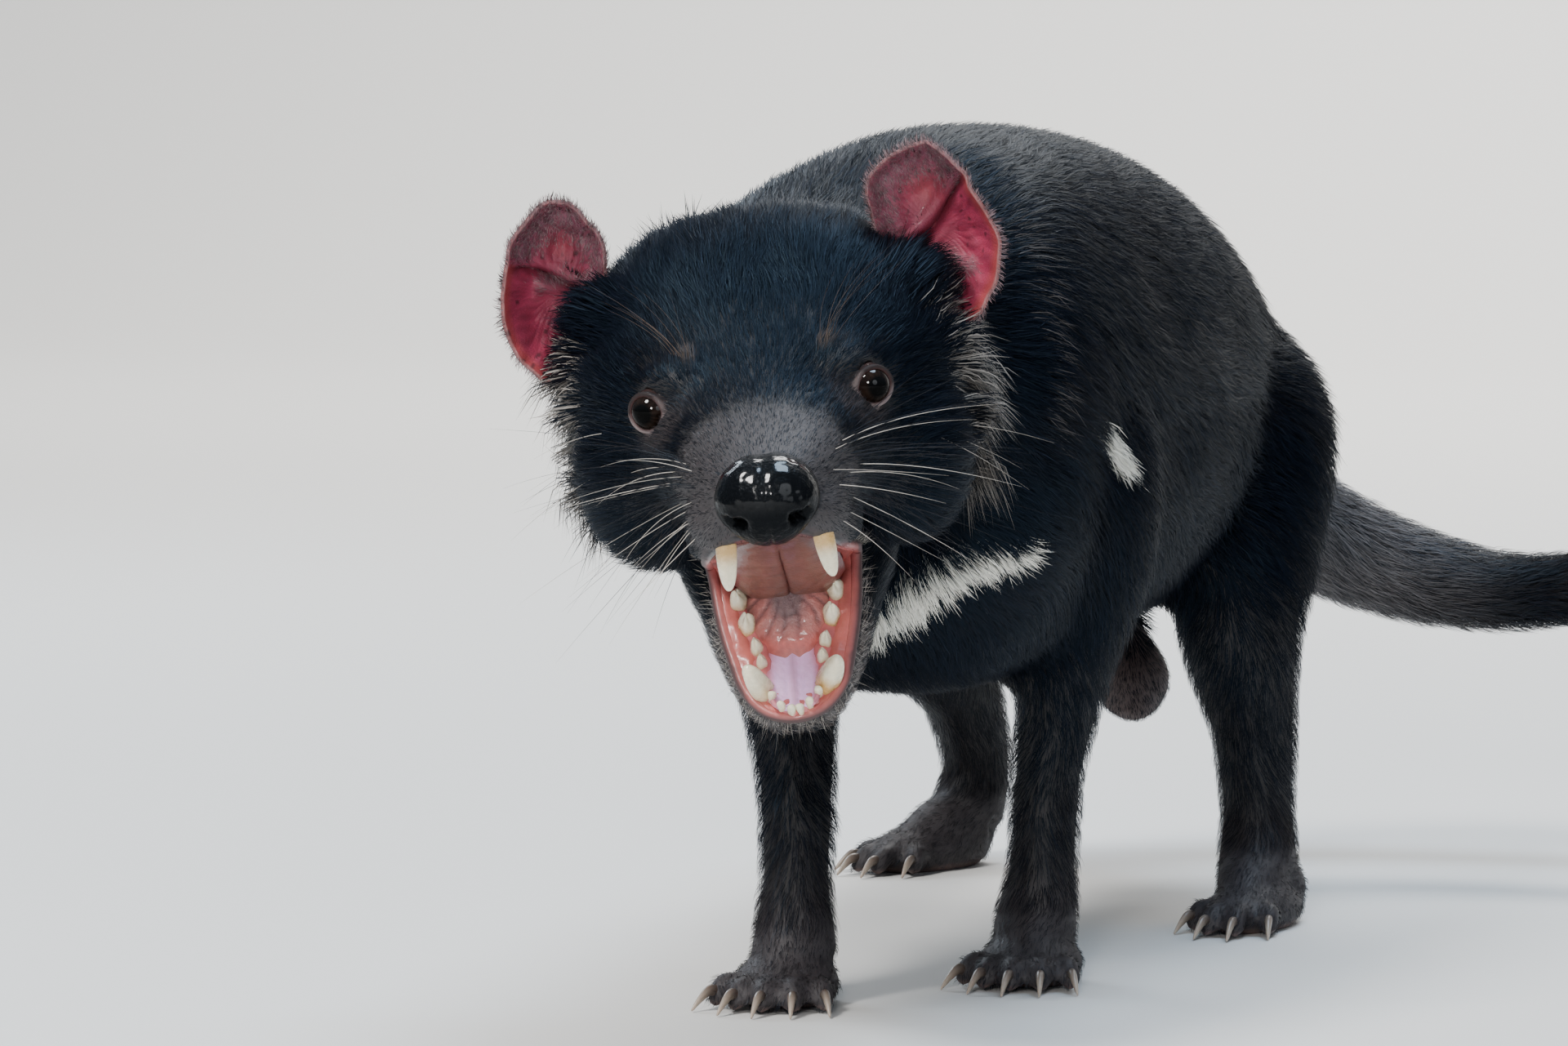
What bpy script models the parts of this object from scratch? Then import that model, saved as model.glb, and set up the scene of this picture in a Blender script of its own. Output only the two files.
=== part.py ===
"""A Tasmanian devil at life size, walking, with its head turned and its mouth wide open.

The body is modelled whole and parted with thin cuts. Head, body and feet are each fused
from lofts, because the head and the feet need finer faces than the body. All lengths are
in metres. The nose points along -Y, the animal's left is +X and the ground is at Z 0.
"""

import math
import random

import bmesh
import bpy
from mathutils import Matrix, Vector

GAP = 0.0003
HALF_TURN = math.pi

# The head: its own frame has its origin midway between the eyes, nose along -Y.
HEAD_PLACE = Vector((0.0019, -0.1583, 0.2076))
HEAD_YAW = math.radians(15.0)
HEAD_PITCH = math.radians(7.0)
HEAD_ROLL = math.radians(-7.0)
HEAD_BACK = 0.082
NOSE_BACK = -0.0495
GAPE_LINE = math.radians(45.0)
JAW_HINGE = Vector((0.0, 0.050, -0.020))

# Rows: place back, middle height, half width, rise above it, drop below it.
SKULL_ROWS = (
    (-0.0520, -0.0220, 0.0140, 0.0110, 0.0125),
    (-0.0420, -0.0215, 0.0195, 0.0150, 0.0165),
    (-0.0280, -0.0205, 0.0255, 0.0195, 0.0215),
    (-0.0120, -0.0180, 0.0320, 0.0255, 0.0260),
    (0.0020, -0.0140, 0.0400, 0.0310, 0.0300),
    (0.0200, -0.0090, 0.0500, 0.0390, 0.0340),
    (0.0400, -0.0040, 0.0570, 0.0455, 0.0400),
    (0.0620, 0.0000, 0.0590, 0.0480, 0.0480),
    (0.0820, 0.0000, 0.0580, 0.0480, 0.0540),
    (0.0980, 0.0000, 0.0550, 0.0460, 0.0540),
)
# Rows: distance along the jaw from its hinge, middle height, half width, rise, drop.
JAW_ROWS = (
    (0.0040, -0.0200, 0.0360, 0.0150, 0.0300),
    (0.0350, -0.0165, 0.0350, 0.0150, 0.0270),
    (0.0580, -0.0120, 0.0290, 0.0110, 0.0210),
    (0.0780, -0.0090, 0.0240, 0.0085, 0.0165),
    (0.0950, -0.0080, 0.0182, 0.0075, 0.0125),
    (0.1045, -0.0078, 0.0115, 0.0065, 0.0085),
)
CHEEK_PLACE = Vector((0.0340, 0.0350, -0.0260))
CHEEK_RADII = (0.0255, 0.0340, 0.0300)
BROW_PLACE = Vector((0.023, 0.009, 0.0070))
BROW_RADII = (0.0150, 0.0150, 0.0095)

# The ruff: flat locks of long hair that stand out from each cheek below the ear.
RUFF_LOCKS = 8
RUFF_TOP = Vector((0.0500, 0.0640, 0.0050))
RUFF_MIDDLE = Vector((0.0520, 0.0600, -0.0140))
RUFF_BOTTOM = Vector((0.0445, 0.0540, -0.0400))
RUFF_TOP_REACH = Vector((0.0255, 0.0060, -0.0040))
RUFF_BOTTOM_REACH = Vector((0.0130, 0.0080, -0.0110))
LOCK_WIDTH = 0.0085
LOCK_THICK = 0.0034
LOCK_SAG = 0.0050
# Share of the way along a lock, and its width there as a share of the widest.
LOCK_STATIONS = ((-0.45, 0.75), (0.10, 1.0), (0.55, 0.84), (0.85, 0.50), (1.0, 0.14))

# Eyes
EYE_PLACE = Vector((0.0330, 0.0030, 0.0000))
EYE_RADIUS = 0.0070
EYE_TURN = math.radians(30.0)
LID_WIDE = math.radians(66.0)
LID_TALL = math.radians(56.0)
LID_THICK = 0.0017

# Nose
NOSE_MIDDLE = -0.0220
NOSE_HALF_WIDTH = 0.0155
NOSE_HALF_HEIGHT = 0.0137
NOSE_DEPTH = 0.0135
NOSTRIL_PLACE = Vector((0.0112, -0.0600, -0.0262))
NOSTRIL_RADII = (0.0030, 0.0050, 0.0021)

# Mouth: places of the upper side are in the head's frame, those of the lower in the jaw's.
MOUTH_CORNER = Vector((0.029, 0.011, -0.051))
LIP_THICK = 0.0027
LIP_STEPS = 2
LIP_UPPER = (
    Vector((0.0000, -0.0485, -0.0360)),
    Vector((0.0120, -0.0460, -0.0368)),
    Vector((0.0195, -0.0370, -0.0395)),
    Vector((0.0240, -0.0240, -0.0425)),
    Vector((0.0270, -0.0080, -0.0460)),
)
LIP_LOWER = (
    Vector((0.0275, -0.0530, 0.0010)),
    Vector((0.0235, -0.0680, -0.0010)),
    Vector((0.0195, -0.0810, -0.0020)),
    Vector((0.0155, -0.0930, -0.0030)),
    Vector((0.0095, -0.1030, -0.0035)),
    Vector((0.0000, -0.1065, -0.0035)),
)
# Hollows of the mouth: place and radii of an egg shape.
ROOF_TILT = math.radians(10.0)
ROOF_HOLLOW = (Vector((0, -0.0080, -0.0400)), (0.0165, 0.0340, 0.0090))
FLOOR_HOLLOW = (Vector((0, -0.0680, 0.0010)), (0.0125, 0.0320, 0.0100))
THROAT_HOLLOW = (Vector((0, 0.0120, -0.0520)), (0.0200, 0.0190, 0.0150))
# The cuts that part head and lower jaw start this far in front of the mouth's corner.
PARTING_LEAD = 0.003
PARTING_BOX = 0.20
PARTING_FRONT = 0.02
SMALL_SCRAP = 200

# Teeth
CANINE_LENGTH = 0.0125
LOWER_CANINE_LENGTH = 0.0115
CANINE_THICK = 0.0034
UPPER_CANINE = Vector((0.0150, -0.0405, -0.0375))
UPPER_CANINE_WAY = Vector((0.10, -0.05, -1.0))
UPPER_CANINE_BEND = 0.0015
LOWER_CANINE = Vector((0.0106, -0.0945, 0.0000))
LOWER_CANINE_WAY = Vector((0.30, -0.12, 1.0))
LOWER_CANINE_BEND = 0.0010
INCISOR_THICK = 0.0015
UPPER_INCISORS = 4
UPPER_INCISOR_LENGTH = 0.0045
UPPER_INCISOR_WAY = Vector((0, -0.1, -1))
# Incisors stand on an arc: the first one's place, their spacing, and how far the arc falls
# back at a given distance from the middle.
UPPER_INCISOR = Vector((0.0016, -0.0470, -0.0365))
UPPER_INCISOR_STEP = 0.0031
UPPER_ARC = (0.0125, 0.0045)
LOWER_INCISORS = 3
LOWER_INCISOR_LENGTH = 0.0045
LOWER_INCISOR_WAY = Vector((0, -0.15, 1))
LOWER_INCISOR = Vector((0.0014, -0.1030, -0.0015))
LOWER_INCISOR_STEP = 0.0029
LOWER_ARC = (0.0072, 0.0055)
# Cheek teeth stand in a row from the first place to the last.
CHEEK_TEETH = 6
CHEEK_TOOTH_LENGTH = 0.0055
CHEEK_TOOTH_THICK = 0.0024
UPPER_CHEEK_ROW = (Vector((0.0165, -0.0320, -0.0390)), Vector((0.0225, 0.0040, -0.0450)))
LOWER_CHEEK_ROW = (Vector((0.0090, -0.0860, 0.0000)), Vector((0.0165, -0.0560, 0.0000)))
# A tooth's stations: share of its length from the gum, share of its thickness.
CANINE_STATIONS = ((-0.35, 1.0), (0.0, 1.0), (0.55, 0.78), (0.92, 0.38), (1.0, 0.16))
TOOTH_STATIONS = ((-0.8, 0.9), (0.3, 1.0), (1.0, 0.35))
CANINE_SIDES = 6
TOOTH_SIDES = 5
LENGTHS_VARY = 0.12

# Tongue rows, in the jaw's frame: distance from the hinge, middle height, half width, rise, drop.
TONGUE_ROWS = (
    (0.0340, -0.0010, 0.0120, 0.0040, 0.0060),
    (0.0440, 0.0000, 0.0135, 0.0060, 0.0080),
    (0.0600, 0.0000, 0.0130, 0.0065, 0.0080),
    (0.0700, -0.0020, 0.0120, 0.0055, 0.0060),
    (0.0790, -0.0050, 0.0090, 0.0035, 0.0030),
    (0.0820, -0.0060, 0.0040, 0.0015, 0.0015),
)

# Ears: an oval seen from in front, cupped backwards.
EAR_MIDDLE = Vector((0.0588, 0.0560, 0.0360))
EAR_RISE = {"left": 0.0290, "right": 0.0265}
EAR_DROP = 0.0300
EAR_OUT = 0.0200
EAR_IN = {"left": 0.0190, "right": 0.0135}
EAR_LEAN = 0.10
EAR_CUP = 0.0130
EAR_CURL = 0.0040
EAR_THICK = 0.0018
EAR_SIDES = 18
EAR_RINGS = 4

# The trunk. Rows: place back, middle height, half width, rise, drop.
TRUNK_ROWS = (
    (-0.0640, 0.1860, 0.0400, 0.0400, 0.0420),
    (-0.0450, 0.1920, 0.0580, 0.0660, 0.0680),
    (-0.0100, 0.1940, 0.0690, 0.0890, 0.0900),
    (0.0500, 0.1950, 0.0740, 0.0950, 0.0950),
    (0.1300, 0.1950, 0.0780, 0.0945, 0.0920),
    (0.2000, 0.1930, 0.0770, 0.0890, 0.0860),
    (0.2600, 0.1890, 0.0720, 0.0760, 0.0770),
    (0.3050, 0.1800, 0.0640, 0.0630, 0.0680),
    (0.3380, 0.1700, 0.0480, 0.0460, 0.0520),
    (0.3540, 0.1660, 0.0280, 0.0270, 0.0300),
)
# The neck runs from the shoulders to the back of the head.
NECK_ROOT = Vector((0.0, 0.010, 0.200))
NECK_ROOT_HALF_WIDTH = 0.068
NECK_ROOT_HALF_HEIGHT = 0.083
NECK_INTO_HEAD = 0.012
NECK_CUT_PLACE = Vector((-0.004, -0.045, 0.205))
NECK_CUT_WAY = Vector((0, -1, 0.12))
# Half the side of the thin square plate that cuts through the neck, the tail or the scrotum.
NECK_PLATE = 0.12
TAIL_PLATE = 0.034
SCROTUM_PLATE = 0.017
SCROTUM_CUT = 0.40
# A place inside each part that the trunk is cut into, apart from tail and scrotum.
TORSO_SEED = Vector((0, 0.14, 0.195))
NECK_SEED = Vector((-0.01, -0.06, 0.21))

# Legs. Points run down from the shoulder or the hip, each with its half width and
# its half depth, for the leg as it stands on each side.
LEFT = 1.0
RIGHT = -1.0
FORE_LEGS = {
    "left": (
        (Vector((0.0340, 0.0250, 0.2150)), 0.022, 0.038),
        (Vector((0.0500, 0.0350, 0.1850)), 0.027, 0.044),
        (Vector((0.0510, 0.0500, 0.1500)), 0.025, 0.036),
        (Vector((0.0405, 0.0660, 0.1080)), 0.0180, 0.0215),
        (Vector((0.0340, 0.0680, 0.0680)), 0.0135, 0.0155),
        (Vector((0.0330, 0.0650, 0.0380)), 0.0130, 0.0140),
        (Vector((0.0315, 0.0610, 0.0160)), 0.0155, 0.0145),
    ),
    "right": (
        (Vector((-0.0340, 0.0200, 0.2150)), 0.022, 0.038),
        (Vector((-0.0500, 0.0220, 0.1850)), 0.027, 0.044),
        (Vector((-0.0520, 0.0260, 0.1500)), 0.025, 0.036),
        (Vector((-0.0430, 0.0180, 0.1050)), 0.0185, 0.0220),
        (Vector((-0.0350, 0.0020, 0.0640)), 0.0140, 0.0160),
        (Vector((-0.0330, -0.0060, 0.0380)), 0.0130, 0.0140),
        (Vector((-0.0320, -0.0110, 0.0160)), 0.0155, 0.0145),
    ),
}
HIND_LEGS = {
    "left": (
        (Vector((0.0340, 0.2720, 0.2120)), 0.026, 0.040),
        (Vector((0.0550, 0.2680, 0.1800)), 0.034, 0.050),
        (Vector((0.0600, 0.2480, 0.1450)), 0.030, 0.046),
        (Vector((0.0650, 0.2250, 0.1080)), 0.0240, 0.0330),
        (Vector((0.0690, 0.2320, 0.0680)), 0.0165, 0.0190),
        (Vector((0.0695, 0.2360, 0.0400)), 0.0145, 0.0165),
        (Vector((0.0715, 0.2280, 0.0190)), 0.0155, 0.0170),
    ),
    "right": (
        (Vector((-0.0340, 0.2720, 0.2120)), 0.026, 0.040),
        (Vector((-0.0550, 0.2700, 0.1800)), 0.034, 0.050),
        (Vector((-0.0620, 0.2720, 0.1450)), 0.030, 0.046),
        (Vector((-0.0745, 0.2950, 0.1080)), 0.0255, 0.0330),
        (Vector((-0.0720, 0.3400, 0.0720)), 0.0165, 0.0190),
        (Vector((-0.0715, 0.3640, 0.0420)), 0.0145, 0.0165),
        (Vector((-0.0745, 0.3600, 0.0190)), 0.0150, 0.0170),
    ),
}
# A leg is parted from the trunk by a plane that slants up and out through this place,
# between a face on its inner side and one before and behind it.
LEG_CUT_OUT = 0.045
LEG_CUT_HEIGHT = 0.113
LEG_CUT_SLANT = 0.5
LEG_CUT_MARGIN = 0.012
FORE_LEG_INNER = 0.004
HIND_LEG_INNER = 0.026
WELL_OUTSIDE = 0.130
ANKLE_CUT = 0.45

# Feet: where the middle of the palm or sole is, the way the toes point (turned from -Y
# towards the animal's left) and the sizes of one foot.
FORE_FEET = {"left": (Vector((0.0325, 0.0530, 0.0)), 0.0), "right": (Vector((-0.0325, -0.0180, 0.0)), 0.0)}
HIND_FEET = {"left": (Vector((0.0740, 0.2130, 0.0)), -0.14), "right": (Vector((-0.0850, 0.3440, 0.0)), -0.48)}
FORE_FOOT = {"half_width": 0.0185, "half_length": 0.0195, "height": 0.0190, "toes": 5, "spread": 0.46,
             "toe_length": 0.0140, "toe_thick": 0.0048, "claw": 0.0115}
HIND_FOOT = {"half_width": 0.0158, "half_length": 0.0320, "height": 0.0190, "toes": 4, "spread": 0.34,
             "toe_length": 0.0130, "toe_thick": 0.0048, "claw": 0.0105}
CLAW_THICK = 0.0019
CLAW_OFF_GROUND = 0.0006

# Tail: points from its root, with its half thickness. It is fat and woolly at its root.
TAIL_POINTS = (
    (Vector((0.0000, 0.3300, 0.1820)), 0.0270),
    (Vector((0.0120, 0.3640, 0.1640)), 0.0255),
    (Vector((0.0380, 0.3920, 0.1400)), 0.0235),
    (Vector((0.0750, 0.4090, 0.1190)), 0.0200),
    (Vector((0.1180, 0.4160, 0.1080)), 0.0160),
    (Vector((0.1620, 0.4150, 0.1100)), 0.0130),
    (Vector((0.2050, 0.4100, 0.1190)), 0.0105),
    (Vector((0.2380, 0.4060, 0.1290)), 0.0070),
)
SCROTUM_PLACE = Vector((0.0060, 0.3020, 0.0800))
SCROTUM_RADII = (0.0155, 0.0165, 0.0175)
SCROTUM_NECK = Vector((0.0050, 0.2950, 0.1120))
SCROTUM_NECK_THICK = 0.0080

# How fine the fused shapes are, and how many triangles each keeps.
HEAD_VOXEL = 0.0024
BODY_VOXEL = 0.0050
FOOT_VOXEL = 0.0019
HEAD_TRIANGLES = 2300
BODY_TRIANGLES = 2400
FOOT_TRIANGLES = 300
TONGUE_TRIANGLES = 160

MODEL_NAME = "tasmanian_devil"
SCRATCH_NAME = "pieces_to_fuse"


def empty_the_scene():
    for thing in list(bpy.data.objects):
        bpy.data.objects.remove(thing, do_unlink=True)


def collection(name):
    found = bpy.data.collections.get(name)
    if found is None:
        found = bpy.data.collections.new(name)
        bpy.context.scene.collection.children.link(found)
    return found


def material(name, colour, roughness, metallic=0.0):
    made = bpy.data.materials.new(name)
    made.use_nodes = True
    shader = made.node_tree.nodes["Principled BSDF"]
    shader.inputs["Base Color"].default_value = (*colour, 1.0)
    shader.inputs["Roughness"].default_value = roughness
    shader.inputs["Metallic"].default_value = metallic
    return made


def new_object(name, mesh, home=SCRATCH_NAME):
    made = bpy.data.objects.new(name, mesh)
    collection(home).objects.link(made)
    return made


def object_from(bm, name):
    bmesh.ops.recalc_face_normals(bm, faces=bm.faces)
    mesh = bpy.data.meshes.new(name)
    bm.to_mesh(mesh)
    bm.free()
    return new_object(name, mesh)


def discard(things):
    for thing in things:
        bpy.data.objects.remove(thing, do_unlink=True)


def bake(thing):
    """Put the object's evaluated shape in its mesh and drop its modifiers."""
    bpy.context.view_layer.update()
    graph = bpy.context.evaluated_depsgraph_get()
    mesh = bpy.data.meshes.new_from_object(thing.evaluated_get(graph))
    thing.modifiers.clear()
    thing.data = mesh
    return thing


def head_matrix():
    """Head frame to the model's frame."""
    turn = Matrix.Rotation(HEAD_YAW, 4, "Z") @ Matrix.Rotation(HEAD_PITCH, 4, "X")
    return Matrix.Translation(HEAD_PLACE) @ turn @ Matrix.Rotation(HEAD_ROLL, 4, "Y")


def jaw_matrix():
    """Jaw frame to the head's: it runs from the hinge to the chin along -Y, and up is out of the jaw."""
    return Matrix.Translation(JAW_HINGE) @ Matrix.Rotation(GAPE_LINE, 4, "X")


def between(low, high, share):
    return low + (high - low) * share


def smooth_rows(rows, steps):
    """Rows of numbers along a smooth curve through the rows that are given."""
    made = []
    last = len(rows) - 1
    for index in range(last):
        before = rows[max(index - 1, 0)]
        start = rows[index]
        end = rows[index + 1]
        after = rows[min(index + 2, last)]
        for step in range(steps):
            t = step / steps
            row = []
            for a, b, c, d in zip(before, start, end, after):
                row.append(0.5 * (2 * b + (c - a) * t + (2 * a - 5 * b + 4 * c - d) * t ** 2
                                  + (3 * b - a - 3 * c + d) * t ** 3))
            made.append(row)
    made.append(list(rows[last]))
    return made


def oval(centre, across, upward, half_width, rise, drop, sides=28, fullness=2.2):
    """A ring of points: an oval that is a little squarer than an ellipse when fullness is over 2."""
    points = []
    for index in range(sides):
        angle = 2 * HALF_TURN * index / sides
        c = math.cos(angle)
        s = math.sin(angle)
        x = math.copysign(abs(c) ** (2 / fullness), c) * half_width
        z = math.copysign(abs(s) ** (2 / fullness), s) * (rise if s > 0 else drop)
        points.append(centre + across * x + upward * z)
    return points


def loft(name, rings):
    """A closed skin through rings of the same count."""
    bm = bmesh.new()
    loops = [[bm.verts.new(point) for point in ring] for ring in rings]
    for low, high in zip(loops, loops[1:]):
        for index in range(len(low)):
            after = (index + 1) % len(low)
            bm.faces.new((low[index], low[after], high[after], high[index]))
    bm.faces.new(loops[0][::-1])
    bm.faces.new(loops[-1])
    return object_from(bm, name)


def lofted_rows(name, rows, matrix, direction=1.0, steps=4, fullness=2.2):
    """A loft along Y of the given frame."""
    turn = matrix.to_3x3()
    across = turn @ Vector((1, 0, 0))
    upward = turn @ Vector((0, 0, 1))
    rings = []
    for back, middle, half_width, rise, drop in smooth_rows(rows, steps):
        centre = matrix @ Vector((0, back * direction, middle))
        rings.append(oval(centre, across, upward, half_width, rise, drop, fullness=fullness))
    return loft(name, rings)


def tube(name, points, radii, sides=10, depths=None):
    """A tapering tube through points; depths, where given, are its half sizes along Y."""
    rings = []
    depths = depths or radii
    last = len(points) - 1
    for index, point in enumerate(points):
        along = (points[min(index + 1, last)] - points[max(index - 1, 0)]).normalized()
        guide = Vector((1, 0, 0)) if abs(along.x) < 0.85 else Vector((0, 0, 1))
        side = (guide - along * guide.dot(along)).normalized()
        other = along.cross(side)
        rings.append(oval(point, side, other, radii[index], depths[index], depths[index], sides, 2.0))
    return loft(name, rings)


def smooth_tube(name, rows, steps=4, sides=20):
    """A limb or a tail: a tube along a smooth curve through its rows."""
    flat = [(*row[0], row[1], row[-1]) for row in rows]
    curve = smooth_rows(flat, steps)
    points = [Vector(row[:3]) for row in curve]
    return tube(name, points, [row[3] for row in curve], sides, [row[4] for row in curve])


def ball(name, centre, radii, matrix=None, segments=14, rings=9):
    bm = bmesh.new()
    scale = Matrix.Diagonal((*radii, 1.0))
    place = (matrix or Matrix.Identity(4)) @ Matrix.Translation(centre) @ scale
    bmesh.ops.create_uvsphere(bm, u_segments=segments, v_segments=rings, radius=1.0, matrix=place)
    return object_from(bm, name)


def box(name, matrix, size):
    bm = bmesh.new()
    bmesh.ops.create_cube(bm, size=1.0, matrix=matrix @ Matrix.Diagonal((*size, 1.0)))
    return object_from(bm, name)


def join(name, pieces):
    """Several closed meshes in one object, still overlapping."""
    bm = bmesh.new()
    for piece in pieces:
        bm.from_mesh(piece.data)
    made = object_from(bm, name)
    discard(pieces)
    return made


def remesh(thing, voxel, passes):
    """Fuse what overlaps into one smooth skin."""
    skin = thing.modifiers.new("fuse", "REMESH")
    skin.mode = "VOXEL"
    skin.voxel_size = voxel
    relax = thing.modifiers.new("relax", "SMOOTH")
    relax.factor = 0.5
    relax.iterations = passes
    return bake(thing)


def thin_out(thing, triangles):
    """Fewer triangles, spent where the surface bends."""
    facets = thing.modifiers.new("facets", "TRIANGULATE")
    facets.quad_method = "SHORTEST_DIAGONAL"
    bake(thing)
    fewer = thing.modifiers.new("fewer", "DECIMATE")
    fewer.ratio = min(1.0, triangles / len(thing.data.polygons))
    return bake(thing)


def combine(thing, pieces, operation, solver="EXACT"):
    """One Boolean between an object and a collection of closed meshes."""
    home = bpy.data.collections.new("operands")
    bpy.context.scene.collection.children.link(home)
    for piece in pieces:
        home.objects.link(piece)
    change = thing.modifiers.new("change", "BOOLEAN")
    change.operation = operation
    change.solver = solver
    change.operand_type = "COLLECTION"
    change.collection = home
    bake(thing)
    discard(pieces)
    bpy.data.collections.remove(home)
    return thing


def cut(thing, cutters, solver="EXACT"):
    return combine(thing, cutters, "DIFFERENCE", solver)


def unite(thing, pieces, solver="EXACT"):
    return combine(thing, pieces, "UNION", solver)


def islands(bm):
    """The separate closed surfaces of a mesh, as lists of vertices."""
    seen = set()
    found = []
    for start in bm.verts:
        if start in seen:
            continue
        seen.add(start)
        group = [start]
        for vertex in group:
            for edge in vertex.link_edges:
                other = edge.other_vert(vertex)
                if other not in seen:
                    seen.add(other)
                    group.append(other)
        found.append(group)
    return found


def middle_of(vertices):
    total = Vector((0, 0, 0))
    for vertex in vertices:
        total += vertex.co
    return total / len(vertices)


def keep_island(thing, choose):
    """Keep the one closed surface for which choose gives the highest value."""
    bm = bmesh.new()
    bm.from_mesh(thing.data)
    groups = sorted(islands(bm), key=choose)
    for group in groups[:-1]:
        bmesh.ops.delete(bm, geom=group, context="VERTS")
    bm.to_mesh(thing.data)
    bm.free()
    return thing


def keep_largest(thing):
    return keep_island(thing, len)


def tidy(thing, merge=0.00002):
    """Merge what the cuts left doubled and split faces into triangles."""
    bm = bmesh.new()
    bm.from_mesh(thing.data)
    bmesh.ops.remove_doubles(bm, verts=bm.verts, dist=merge)
    bmesh.ops.dissolve_degenerate(bm, edges=bm.edges, dist=merge)
    bmesh.ops.triangulate(bm, faces=bm.faces)
    bm.to_mesh(thing.data)
    bm.free()
    return thing


def finish(thing, name, look):
    """Name a finished part, give it its material and put it with the model."""
    tidy(thing)
    keep_largest(thing)
    thing.name = name
    thing.data.name = name
    thing.data.materials.clear()
    thing.data.materials.append(look)
    thing.data.shade_smooth()
    thing.data.set_sharp_from_angle(angle=math.radians(50))
    for home in list(thing.users_collection):
        home.objects.unlink(thing)
    collection(MODEL_NAME).objects.link(thing)
    return thing


def copy_of(thing, name):
    made = thing.copy()
    made.data = thing.data.copy()
    made.name = name
    collection(SCRATCH_NAME).objects.link(made)
    return made


def grown(thing, name, by=GAP):
    """A copy pushed out along its normals, for cutting a neighbour clear."""
    made = copy_of(thing, name)
    push = made.modifiers.new("push", "DISPLACE")
    push.strength = by
    push.mid_level = 0.0
    return bake(made)


def mirrored(point, side):
    return Vector((point.x * side, point.y, point.z))


def gaze_frame(side):
    """The eye's frame in the head: its -Y looks out of the eye."""
    return Matrix.Translation(mirrored(EYE_PLACE, side)) @ Matrix.Rotation(EYE_TURN * side, 4, "Z")


def skull_shape():
    """Skull, muzzle, jaw and cheeks, fused, in the model's frame."""
    frame = head_matrix()
    jaw = frame @ jaw_matrix()
    pieces = [
        lofted_rows("skull", SKULL_ROWS, frame),
        lofted_rows("jaw", JAW_ROWS, jaw, direction=-1.0),
    ]
    for side in (LEFT, RIGHT):
        pieces.append(ball("cheek", mirrored(CHEEK_PLACE, side), CHEEK_RADII, frame))
        pieces.append(ball("brow", mirrored(BROW_PLACE, side), BROW_RADII, frame))
    return remesh(join("head", pieces), HEAD_VOXEL, passes=3)


def mouth_hollows():
    """Cutters for the roof of the mouth, its floor and the throat."""
    frame = head_matrix()
    roof = frame @ Matrix.Rotation(ROOF_TILT, 4, "X")
    hollows = ((ROOF_HOLLOW, roof), (FLOOR_HOLLOW, frame @ jaw_matrix()), (THROAT_HOLLOW, frame))
    return [ball("hollow", place, radii, matrix, 20, 12) for (place, radii), matrix in hollows]


def lid(side):
    """A ring of lid round one eye."""
    frame = head_matrix() @ gaze_frame(side)
    reach = EYE_RADIUS + 0.0004
    points = []
    count = 12
    for index in range(count):
        angle = 2 * HALF_TURN * index / count
        x = math.cos(angle) * math.sin(LID_WIDE)
        z = math.sin(angle) * math.sin(LID_TALL)
        y = -math.sqrt(1 - x * x - z * z)
        points.append(frame @ (Vector((x, y, z)) * reach))
    return closed_tube("lid", points, LID_THICK, 5)


def closed_tube(name, points, radius, sides):
    """A tube that closes on itself."""
    bm = bmesh.new()
    count = len(points)
    middle = sum(points, Vector()) / count
    loops = []
    for index, point in enumerate(points):
        along = (points[(index + 1) % count] - points[index - 1]).normalized()
        outward = point - middle
        outward = (outward - along * outward.dot(along)).normalized()
        other = along.cross(outward)
        ring = oval(point, outward, other, radius, radius, radius, sides, 2.0)
        loops.append([bm.verts.new(place) for place in ring])
    for index in range(count):
        low = loops[index]
        high = loops[(index + 1) % count]
        for step in range(sides):
            after = (step + 1) % sides
            bm.faces.new((low[step], low[after], high[after], high[step]))
    return object_from(bm, name)


def lip_line():
    """The rim of the open mouth, once round, in the model's frame."""
    frame = head_matrix()
    jaw = jaw_matrix()
    left = [*LIP_UPPER, MOUTH_CORNER] + [jaw @ point for point in LIP_LOWER]
    right = [mirrored(point, RIGHT) for point in left[-2:0:-1]]
    rows = [tuple(point) for point in left + right]
    looped = rows[-2:] + rows + rows[:3]
    curve = smooth_rows(looped, LIP_STEPS)
    kept = curve[2 * LIP_STEPS:(2 + len(rows)) * LIP_STEPS]
    return [frame @ Vector(row) for row in kept]


def tooth(matrix, place, direction, length, thick, bend=0.0, sides=TOOTH_SIDES):
    """A cone that tapers to a blunt tip, its root sunk in the gum."""
    way = direction.normalized()
    back = Vector((0, bend, 0))
    stations = CANINE_STATIONS if sides > TOOTH_SIDES else TOOTH_STATIONS
    points = []
    radii = []
    for share, size in stations:
        reach = max(share, 0.0)
        points.append(matrix @ (place + way * (length * share) + back * reach * reach))
        radii.append(thick * size)
    return tube("tooth", points, radii, sides)


def varied(generator, value, share=LENGTHS_VARY):
    return value * (1 + generator.uniform(-share, share))


def incisors(generator, matrix, side, first, step, arc, way, count, length):
    """The small front teeth of one side, on an arc from the middle outwards."""
    out_at, back_by = arc
    made = []
    for index in range(count):
        x = first.x + step * index
        place = Vector((x * side, first.y + back_by * (x / out_at) ** 2, first.z))
        made.append(tooth(matrix, place, way, varied(generator, length), INCISOR_THICK))
    return made


def cheek_teeth(generator, matrix, side, row, way):
    made = []
    for index in range(CHEEK_TEETH):
        place = mirrored(between(row[0], row[1], index / (CHEEK_TEETH - 1)), side)
        made.append(tooth(matrix, place, way, varied(generator, CHEEK_TOOTH_LENGTH), CHEEK_TOOTH_THICK))
    return made


def canine(matrix, side, place, way, length, bend):
    return tooth(matrix, mirrored(place, side), mirrored(way, side), length, CANINE_THICK, bend, CANINE_SIDES)


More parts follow.
